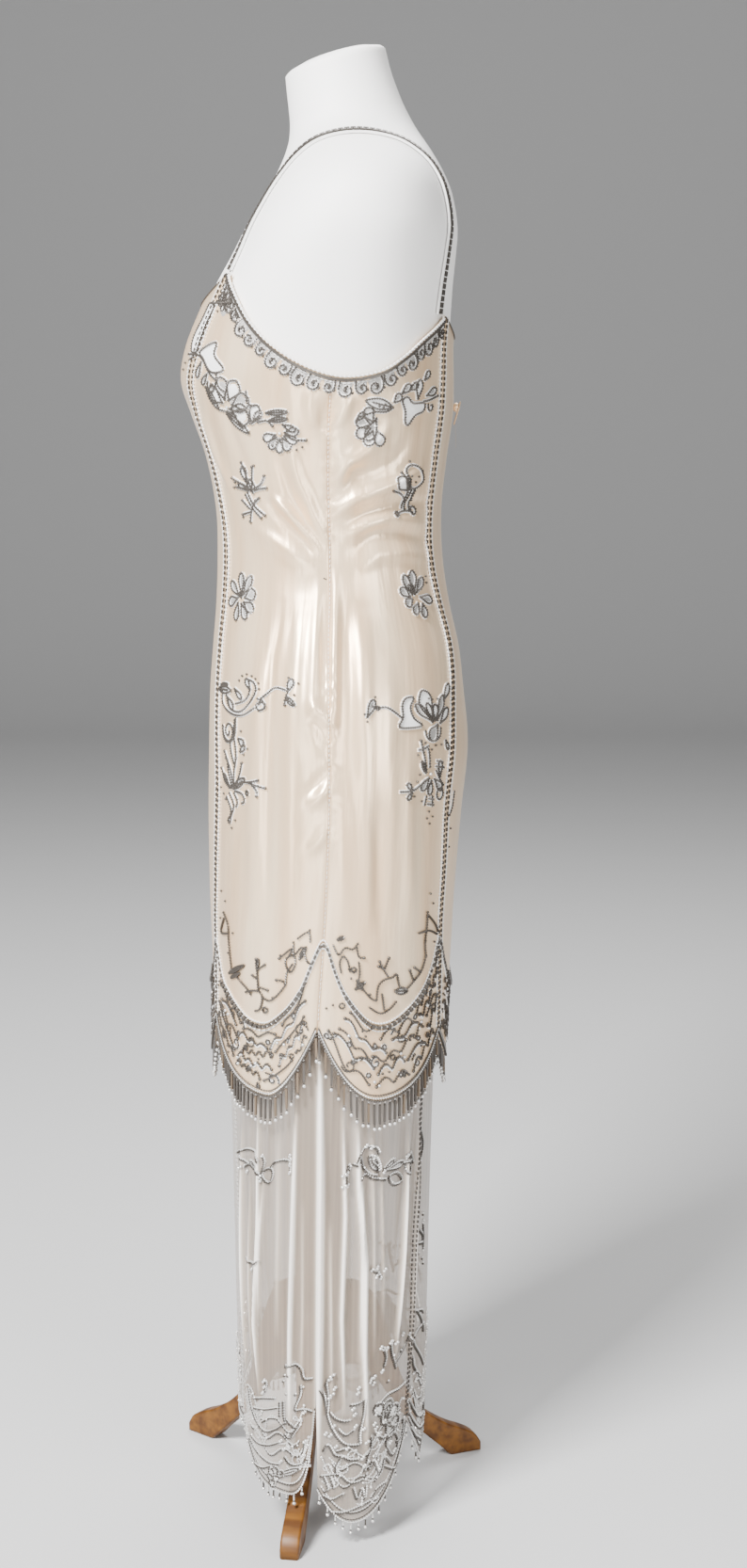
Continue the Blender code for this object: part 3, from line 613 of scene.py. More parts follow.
def add_form():
    """The form's cover, closed by a low dome at the neck and a flat base."""
    heights = np.concatenate([np.linspace(FORM_BOTTOM, 1.24, 60), np.linspace(1.25, NECK_TOP, 50)])
    turns = np.linspace(0, 360, FORM_SIDES, endpoint=False)
    levels = [(height, 1.0, 0.0) for height in heights]
    levels += [(NECK_TOP, share, rise) for share, rise in NECK_DOME]
    rings = []
    for height, share, rise in levels:
        centre = float(BODY_CURVES[0](height))
        ring = body_point(turns, height, -FORM_SINK)
        ring[:, 0] *= share
        ring[:, 1] = centre + (ring[:, 1] - centre) * share
        tilt = NECK_TILT * ease_in_out(NECK_TILT_START, NECK_TOP, height)
        ring[:, 2] += tilt * (ring[:, 1] - centre) + rise
        rings.append(ring)
    faces = grid_faces(FORM_SIDES, len(rings) - 1, closed=True).tolist()
    last = (len(rings) - 1) * FORM_SIDES
    faces.append(list(range(last, last + FORM_SIDES)))
    faces.append(list(range(FORM_SIDES))[::-1])
    mesh = make_mesh("dress_form", np.concatenate(rings), faces, FORM_COVER)
    add_piece("dress_form", mesh, "form_cover", "form_torso")


STAND_Y = -0.0116
COLUMN_SIDES = 48
COLUMN_RADIUS = 0.0245
COLUMN_BOTTOM = 0.075
COLUMN_TOP = FORM_BOTTOM - 0.0003
LEG_TURN = -8.5
LEG_THICKNESS = 0.019
LEG_ROUNDING = 0.0025
LEG = [
    # reach, top, underside
    (0.0250, 0.2050, 0.1200),
    (0.0400, 0.2040, 0.1160),
    (0.0550, 0.1930, 0.1040),
    (0.0700, 0.1580, 0.0840),
    (0.0850, 0.1030, 0.0600),
    (0.1000, 0.0700, 0.0420),
    (0.1150, 0.0530, 0.0270),
    (0.1300, 0.0415, 0.0130),
    (0.1440, 0.0330, 0.0000),
    (0.1600, 0.0255, 0.0000),
    (0.1715, 0.0180, 0.0000),
    (0.1772, 0.0090, 0.0000),
]


def add_stand():
    """A round column, and three legs sawn from board with rounded edges."""
    turns = np.radians(np.linspace(0, 360, COLUMN_SIDES, endpoint=False))
    rings = []
    for share, height in [(0.02, COLUMN_BOTTOM), (0.9, COLUMN_BOTTOM), (1.0, COLUMN_BOTTOM + 0.003),
                          (1.0, COLUMN_TOP), (0.02, COLUMN_TOP)]:
        x, y = COLUMN_RADIUS * share * np.cos(turns), COLUMN_RADIUS * share * np.sin(turns)
        rings.append(np.stack([x, STAND_Y + y, height + 0 * turns], -1))
    faces = grid_faces(COLUMN_SIDES, len(rings) - 1, closed=True)
    add_piece("turned_column", make_mesh("turned_column", np.concatenate(rings), faces, WOOD), "wood",
              "stand_column")

    reach = np.linspace(LEG[0][0], LEG[-1][0], 60)
    above, below = curve_of(LEG, 1)(reach), np.maximum(curve_of(LEG, 2)(reach), 0.0)
    outline = [(x, y, 0.0) for x, y in [*zip(reach, above), *zip(reach[::-1], below[::-1])]]
    for index, name in enumerate(["near", "back", "front"]):
        curve = bpy.data.curves.new(f"leg_{name}", "CURVE")
        curve.dimensions = "2D"
        curve.fill_mode = "BOTH"
        curve.extrude = 0.5 * LEG_THICKNESS - LEG_ROUNDING
        curve.bevel_depth = LEG_ROUNDING
        curve.offset = -LEG_ROUNDING
        curve.bevel_resolution = 3
        add_spline(curve, "POLY", outline).use_cyclic_u = True
        curve.materials.append(WOOD)
        turn = math.radians(LEG_TURN + 120 * index)
        add_piece(f"leg_{name}", curve, "wood", f"stand_leg_{name}", location=(0, STAND_Y, 0),
                  rotation=(math.radians(90), 0, turn))


add_panels(satin)
add_panels(net)
add_form()
add_stand()


def run_along(points):
    """How far each point lies along its line."""
    return np.concatenate([[0], np.cumsum(np.linalg.norm(np.diff(points, axis=0), axis=1))])


def unit(vectors):
    return vectors / np.maximum(np.linalg.norm(vectors, axis=-1, keepdims=True), 1e-12)


def round_shape(sides, stations):
    """A bead of length and radius 1 along X, from rings of a station and a radius, with closed ends."""
    turns = np.radians(np.arange(sides) * 360 / sides + 45)
    points = [(-0.5, 0, 0)]
    for x, radius in stations:
        points += [(x, radius * math.cos(turn), radius * math.sin(turn)) for turn in turns]
    points.append((0.5, 0, 0))
    last = len(points) - 1
    top = 1 + (len(stations) - 1) * sides
    faces = []
    for side in range(sides):
        after = (side + 1) % sides
        faces.append((0, 1 + after, 1 + side))
        for ring in range(len(stations) - 1):
            a, b = 1 + ring * sides + side, 1 + ring * sides + after
            faces += [(a, b, b + sides), (a, b + sides, a + sides)]
        faces.append((last, top + side, top + after))
    return np.array(points, float), np.array(faces)


SHAPES = {
    "seed": round_shape(4, [(0.0, 1.0)]),
    "bugle": round_shape(4, [(-0.46, 1.0), (0.46, 1.0)]),
    "ball": round_shape(6, [(-0.36, 0.74), (0.0, 1.0), (0.36, 0.74)]),
}
# What is sewn on is gathered here by group, tone and shape, and becomes meshes at the end.
beads = {}
patches = {}


def surface_map(cloth, low, high):
    """The cloth's points and outward normals on a fine grid, to read many places quickly."""
    turns, heights = np.arange(-100, 100.1, 0.5), np.arange(low, high, 0.0015)
    height, angle = np.meshgrid(heights, turns, indexing="ij")
    points = cloth(angle, height)
    normals = unit(np.cross(np.gradient(points, axis=1), np.gradient(points, axis=0)))
    return grid_reader(turns, heights, np.concatenate([points, normals], axis=2))


SURFACES = {
    satin: surface_map(satin, 0.440, 1.215),
    net: surface_map(net, 0.015, 0.605),
    body_point: surface_map(body_point, 1.140, 1.345),
}


def on_cloth(cloth, places):
    """The points of the cloth at these places, and its outward normals there."""
    both = SURFACES[cloth](places[:, 0], places[:, 1])
    return both[:, :3], both[:, 3:]


def softened(places, closed=False, steps=6):
    """A smooth line through the places."""
    places = np.array(places, float)
    if len(places) < 3:
        share = np.linspace(0, 1, steps + 1)[:, None]
        return places[0] * (1 - share) + places[-1] * share
    if closed:
        padded = np.concatenate([places[-1:], places, places[:2]])
    else:
        padded = np.concatenate([2 * places[:1] - places[1:2], places, 2 * places[-1:] - places[-2:-1]])
    line = []
    for a, b, c, d in zip(padded, padded[1:], padded[2:], padded[3:]):
        for s in np.arange(steps) / steps:
            line.append(0.5 * (2 * b + (c - a) * s + (2 * a - 5 * b + 4 * c - d) * s ** 2
                               + (3 * b - a - 3 * c + d) * s ** 3))
    line.append(padded[-2])
    return np.array(line)


def string_beads(group, cloth, places, pitch, radius, tone="dark", shape="seed", fill=1.6, lift=0.0):
    """Lay beads end to end along a line on the cloth; fill is a bead's length in pitches."""
    points, normals = on_cloth(cloth, places)
    run = run_along(points)
    count = max(int(round(run[-1] / pitch)), 1)
    at = np.linspace(0, run[-1], count + 1)
    nodes = np.stack([np.interp(at, run, points[:, axis]) for axis in range(3)], -1)
    outward = np.stack([np.interp(at, run, normals[:, axis]) for axis in range(3)], -1)
    nodes = nodes + outward * (radius * 0.75 + lift)
    axis = np.diff(nodes, axis=0)
    length = np.linalg.norm(axis, axis=1)
    batch = (0.5 * (nodes[1:] + nodes[:-1]), unit(axis), outward[1:], length * fill, np.full(count, radius))
    beads.setdefault((group, tone, shape), []).append(batch)


def lay_cord(group, cloth, places, radius, lift):
    """A white cord under a line of beads."""
    string_beads(group, cloth, places, 0.0045, radius, "white", "bugle", 1.0, lift)


PATCH_LIFT = 0.0006
SEED_PITCH = 0.0025
BALL = 0.0017
BALL_LIFT = 0.8
TWIG_TIP = 0.0015
DOT = 0.0012
SPIRAL_SHRINK = 0.82
LEAF_ROUNDNESS = 1.0
PETAL_ROUNDNESS = 1.7


def set_balls(group, cloth, places, radius, tone="light"):
    """Sew single round beads on the cloth."""
    points, normals = on_cloth(cloth, np.array(places, float).reshape(-1, 2))
    count = len(points)
    across = unit(np.cross(normals, (0.0, 0.0, 1.0)))
    centres, radii = points + normals * (radius * BALL_LIFT), np.full(count, radius)
    batch = (centres, across, normals, 2 * radii, radii)
    beads.setdefault((group, tone, "ball"), []).append(batch)


def set_patch(group, cloth, outline, tone):
    """A small filled shape of close embroidery, a little raised in the middle."""
    centre = outline.mean(axis=0)
    rings = [(1.0, 0.1), (0.75, 0.8), (0.4, 1.0)]
    points = []
    for share, rise in rings + [(0.0, 1.0)]:
        ring = centre + (outline - centre) * share if share else centre[None, :]
        at, normals = on_cloth(cloth, ring)
        points.append(at + normals * PATCH_LIFT * rise)
    size = len(outline)
    faces = grid_faces(size, len(rings) - 1, closed=True)
    step = np.arange(size)
    fan = np.stack([2 * size + step, 2 * size + (step + 1) % size, np.full(size, 3 * size)], -1)
    faces = np.concatenate([faces[:, [0, 1, 2]], faces[:, [0, 2, 3]], fan])
    patches.setdefault((group, tone), []).append((np.concatenate(points), faces))


def spot_scale(cloth, place):
    """Metres of cloth in one degree, at a place."""
    low, high = cloth(np.array([place[0] - 0.5, place[0] + 0.5]), np.full(2, place[1]))
    return float(np.linalg.norm(high - low))


def local_frame(cloth, base, tip):
    """The length from base to tip, and a flat frame at the base whose first axis runs to the tip."""
    scale = np.array([spot_scale(cloth, base), 1.0])
    base, tip = np.array(base, float), np.array(tip, float)
    reach = (tip - base) * scale
    length = float(np.hypot(*reach))
    along = reach / length
    side = np.array([-along[1], along[0]])

    def place(x, y):
        flat = np.asarray(x)[..., None] * along + np.asarray(y)[..., None] * side
        return base + flat / scale

    return length, place


def petal_outline(length, width, place, roundness, start=0.0):
    """A pointed oval from its start to its length; a greater roundness moves its widest part outwards."""
    share = np.concatenate([np.linspace(0, 1, 11), np.linspace(1, 0, 11)[1:-1]])
    side = np.where(np.arange(len(share)) < 11, 1, -1)
    half = 0.5 * width * np.sin(math.pi * share ** roundness) ** 0.85 * side
    return place(start + share * (length - start), half)


def draw(group, cloth, kind, size, places, tone="dark", radius=0.0015, corded=True):
    """Draw one motif part from its places on the cloth, dark beads on a white cord unless it's plain."""
    def outline(line, closed=True):
        if closed:
            line = np.concatenate([line, line[:1]])
        string_beads(group, cloth, line, SEED_PITCH, radius, tone)
        if tone == "dark" and corded:
            lay_cord(group, cloth, line, 1.6 * radius, -1.85 * radius)

    if kind in ("line", "branch"):
        outline(softened(places), False)
        if kind == "branch":
            set_balls(group, cloth, [places[-1]], TWIG_TIP, "dark" if tone == "dark" else "light")
    elif kind == "dots":
        set_balls(group, cloth, places, DOT, tone)
    elif kind == "balls":
        set_balls(group, cloth, places, BALL)
    elif kind in ("blade", "loop"):
        line = softened(places, closed=True)[:-1]
        outline(line)
        if kind == "blade":
            set_patch(group, cloth, line[::2], "white")
    elif kind == "ring":
        length, place = local_frame(cloth, *places)
        turns = np.linspace(0, 2 * math.pi, 13)[:-1]
        outline(place(length * np.cos(turns), length * np.sin(turns)))
    elif kind == "scroll":
        length, place = local_frame(cloth, *places)
        share = np.linspace(0, 1, 26)
        turns = share * 2 * math.pi * size
        reach = length * (1 - SPIRAL_SHRINK * share)
        outline(place(reach * np.cos(turns), reach * np.sin(turns)), False)
    elif kind in ("leaf", "petal", "bud"):
        length, place = local_frame(cloth, *places)
        roundness = LEAF_ROUNDNESS if kind == "leaf" else PETAL_ROUNDNESS
        outline(petal_outline(length, size, place, roundness))
        inside = petal_outline(length * 0.93, size * 0.82, place, roundness, length * 0.07)
        set_patch(group, cloth, inside, "grey" if kind == "bud" else "white")
        if kind == "leaf":
            outline(place(np.linspace(0.1, 0.75, 4) * length, np.zeros(4)), False)
    elif kind in ("flower", "fan"):
        length, place = local_frame(cloth, *places)
        spread = 360 if kind == "flower" else 170
        step = spread / (size if kind == "flower" else size - 1)
        width = 1.5 * length * math.sin(math.radians(min(step, 70)) / 2)
        for index in range(size):
            turn = math.radians(index * step - (0 if kind == "flower" else spread / 2))

            def turned(x, y, turn=turn):
                return place(x * math.cos(turn) - y * math.sin(turn), x * math.sin(turn) + y * math.cos(turn))

            outline(petal_outline(length, width, turned, PETAL_ROUNDNESS, 0.22 * length))
            inside = petal_outline(length * 0.86, width * 0.72, turned, PETAL_ROUNDNESS, 0.3 * length)
            set_patch(group, cloth, inside, "grey" if index % 2 else "white")
        set_balls(group, cloth, [places[0]], BALL)


def mesh_arrays(shape, batches):
    """All the beads of one shape as one list of points and one of faces."""
    template, faces = SHAPES[shape]
    centres, axes, normals, lengths, radii = (np.concatenate(part) for part in zip(*batches))
    sides = unit(np.cross(axes, normals))
    thirds = np.cross(sides, axes)
    points = centres[:, None, :] + template[None, :, :1] * (axes * lengths[:, None])[:, None, :]
    points = points + template[None, :, 1:2] * (sides * radii[:, None])[:, None, :]
    points = points + template[None, :, 2:3] * (thirds * radii[:, None])[:, None, :]
    shifts = np.arange(len(centres))[:, None, None] * len(template)
    return points.reshape(-1, 3), (faces[None] + shifts).reshape(-1, 3)


def add_beadwork():
    """Build what was gathered, once for the left half and once more mirrored to the right."""
    gathered = {}
    for (group, tone, shape), batches in beads.items():
        gathered.setdefault((group, tone, shape == "ball"), []).append(mesh_arrays(shape, batches))
    for (group, tone), parts in patches.items():
        gathered.setdefault((group, tone, True), []).extend(parts)
    left = set(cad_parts)
    for (group, tone, smooth), parts in gathered.items():
        shifts = np.cumsum([0] + [len(points) for points, _ in parts])
        points = np.concatenate([points for points, _ in parts])
        faces = np.concatenate([faces + shift for (_, faces), shift in zip(parts, shifts)])
        for side, sign in (("left", 1), ("right", -1)):
            name = f"{group}_{tone}_{'round' if smooth else 'cut'}_{side}"
            mesh = make_mesh(name, points * (sign, 1, 1), faces[:, ::sign], TONES[tone])
            if not smooth:
                mesh.shade_flat()
            item = add_piece(name, mesh, "beads")
            for node in {group, f"{group}_{side}"} & left:
                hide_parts(node)
                left.remove(node)


def place_line(angle, height):
    """A line of places; a fixed angle or height holds all along it."""
    return np.stack(np.broadcast_arrays(angle, height), -1).astype(float)


SEAM_LIFT = 0.0002
WAIST_KNOT = [(-1.2, 0.9330), (0.2, 0.9318)]


def sew_seams():
    """Double rows of bugles down the front and back seams with light cords beside them, and the side seam."""
    front, side, back = SEAM_CURVES
    for curve, top in ((front, 1.205), (back, 1.166)):
        height = np.linspace(float(satin_hem(curve(0.5))) + 0.006, top, 130)
        spread = 0.6 + 0.4 * ease_in_out(0.78, 0.90, height)
        for sign in (-1, 1):
            angle = curve(height) + sign * 1.75 * spread
            string_beads("seam", satin, place_line(angle, height), pitch=0.0052, radius=0.0010, shape="bugle",
                         fill=0.68, lift=SEAM_LIFT)
            string_beads("seam", satin, place_line(angle + sign * 1.35, height), pitch=0.0034, radius=0.0011,
                         tone="white")
    string_beads("seam", satin, np.array(WAIST_KNOT), pitch=0.0035, radius=0.0006, shape="bugle", fill=1.0)
    height = np.arange(0.53, 1.105, 0.0042)
    string_beads("seam", satin, place_line(side(height), height), pitch=0.0042, radius=0.00042, tone="white",
                 shape="bugle", fill=0.62, lift=-0.0001)


SWAG = [
    # angle, height: the bead line above the satin's hem
    (-90.0, 0.530),
    (-75.0, 0.533),
    (-62.0, 0.546),
    (-54.0, 0.572),
    (-51.0, 0.585),
    (-45.0, 0.552),
    (-39.0, 0.540),
    (-32.0, 0.528),
    (-27.0, 0.521),
    (-21.0, 0.520),
    (-17.0, 0.526),
    (-12.0, 0.540),
    (-8.0, 0.558),
    (-5.0, 0.580),
    (-2.5, 0.598),
    (-1.0, 0.604),
    (0.5, 0.598),
    (2.0, 0.582),
    (5.0, 0.558),
    (9.0, 0.539),
    (13.0, 0.526),
    (17.0, 0.521),
    (22.0, 0.523),
    (29.0, 0.533),
    (36.0, 0.548),
    (41.0, 0.566),
    (46.0, 0.590),
    (53.0, 0.566),
    (64.0, 0.540),
    (78.0, 0.528),
    (90.0, 0.525),
]
SWAG_LOW = 0.556
SWAG_RADIUS_LOW = 0.0024
SWAG_RADIUS = 0.0016
HEM_BEADS = ((0.0008, "dark", 0.0015), (0.0036, "light", 0.0013), (0.0062, "dark", 0.0011))


def sew_edges():
    """The bead lines on the satin's swags, armhole, neck and hem, and on the net's hem."""
    swag = softened(SWAG)
    low = swag[:, 1] < SWAG_LOW
    ends = [0] + list(np.flatnonzero(np.diff(low.astype(int))) + 1) + [len(swag)]
    for first, last in zip(ends, ends[1:]):
        radius = SWAG_RADIUS_LOW if low[first] else SWAG_RADIUS
        string_beads("swag", satin, swag[first:last + 1], pitch=0.0056, radius=radius, shape="bugle",
                     fill=0.66, lift=0.0002)
    for rise, tone, radius in ((0.0, "light", 0.0014), (0.0038, "white", 0.0010), (-0.0038, "white", 0.0010)):
        string_beads("swag", satin, swag + (0.0, rise), 0.0030, radius, tone)
    angle = np.linspace(-47, 50, 120)
    for rise, tone, radius, shape in ((0.0002, "white", 0.0014, "seed"), (-0.0030, "dark", 0.0016, "bugle"),
                                      (-0.0056, "light", 0.0010, "seed")):
        string_beads("edge", satin, place_line(angle, armhole(angle) + rise), 0.0040, radius, tone, shape)
    for start, end, neck in ((-90, -47, front_neck), (50, 90, back_neck)):
        angle = np.linspace(start, end, 40)
        string_beads("edge", satin, place_line(angle, neck(angle) - 0.0012), 0.0030, 0.0009)
    for start, end in ((-89.6, -55.4), (-54.6, -3.4), (-2.6, 49.6), (50.4, 89.6)):
        angle = np.linspace(start, end, 60)
        for rise, tone, radius in HEM_BEADS:
            string_beads("hem", satin, place_line(angle, satin_hem(angle) + rise), 0.0026, radius, tone)
    for start, end in ((-90, -49.6), (-49.2, -4.8), (-4.2, 35.3), (35.8, 90)):
        angle = np.linspace(start, end, 60)
        for rise, tone, radius in ((0.0010, "light", 0.0012), (0.0032, "dark", 0.0007)):
            string_beads("net_hem", net, place_line(angle, net_hem(angle) + rise), 0.0028, radius, tone)


# A motif is a centre's angle and height, then its parts: a kind, a size for the kinds that have one
# (a width in millimetres, a scroll's turns or a fan's petals), and offsets from the centre in millimetres.
BUST_MOTIFS = [
    (-29.2, 1.096, [  # front spray
        ("blade", -54, 79.5, -60, 66.5, -65.5, 49, -69.5, 39, -82, 41, -84.5, 53.5, -74.5, 69.5, -68, 82),
        ("blade", -61.5, 39.5, -37, 47.5, -37.5, 36, -24, 23.5, -40, 21, -53.5, 33),
        ("line", -89.5, 37.5, -64.5, 36.5, -53, 31, -42.5, 20, -32.5, 13.5), ("bud", 7, -56, 30.5, -64, 16),
        ("bud", 5.5, -45.5, 20, -55, 10), ("line", -33, 20, -31, 8.5, -23.5, 4),
        ("scroll", 1.2, -40.5, 8.5, -44.5, 13.5), ("leaf", 6.5, -49, 8.5, -35.5, -12),
        ("line", -35.5, -12, -23, -14, -12.5, -17.5), ("fan", 5, -23.5, -10, -9, 13.5),
        ("petal", 8, -21, -11.5, -1, -10), ("leaf", 6.5, -27, -15, 0.5, -33.5),
        ("petal", 11, 2.5, -25, 11.5, -7.5), ("bud", 6.5, 4, -24, 15, -13.5),
        ("line", 0.5, 5, 1.5, -6.5, 9.5, -8.5), ("leaf", 4.5, 19, -15, 42.5, -14),
        ("leaf", 4.5, 22, -21.5, 41.5, -20), ("branch", 10, -23.5, 20, -21.5, 25.5, -26.5),
        ("bud", 5.5, 35, -25, 49, -30.5), ("fan", 6, 32.5, -33, 36.5, -50.5),
        ("branch", 37, -33, 45, -38, 58, -39),
        ("dots", 22.5, -39, 24, -44, 54, -45, 48.5, -47.5, -102, 24, -97, 30),
        ("branch", -84, 31.5, -75, 35), ("line", -37.5, 100, -22, 81, -10.5, 67.5),
        ("ring", -30.5, 81.5, -26, 81.5), ("ring", -42, 85, -36.5, 85), ("ring", -19.5, 72, -16, 72),
        ("dots", -44, 95, -45.5, 85.5, -36, 90.5, -45.5, 75), ("line", -63.5, 82.5, -42, 82, -25, 83),
    ]),
    (25.3, 1.086, [  # back spray
        ("fan", 5, -19, -16.5, -36.5, -25), ("bud", 11, -18, -9, -25.5, -30),
        ("bud", 5.5, -38, -13, -29.5, -4), ("line", -29, -6.5, -20.5, -4, -9.5, -4, -2, 0),
        ("leaf", 9, -3, 0, -30.5, 6), ("dots", -16.5, 1, -12.5, 0, -11, 2.5),
        ("bud", 8, -2.5, 4, 4.5, 11.5), ("bud", 7, 4.5, 11.5, 14.5, 20), ("bud", 6.5, 13, 15, 24, 21),
        ("blade", 6.5, 6, 12.5, 9, 19.5, 3.5, 35, 3.5, 34.5, -3.5, 23.5, -7.5, 16.5, -16, 12.5, -13.5,
         11, -3.5),
        ("petal", 9, 25, 6.5, 26, 25), ("bud", 6.5, 31.5, 23.5, 39.5, 32), ("bud", 7, 36.5, 10, 54, 16),
        ("branch", 33, 5, 43.5, 6.5, 57, 10), ("scroll", 1.0, 46, 0.5, 41, 3),
    ]),
]
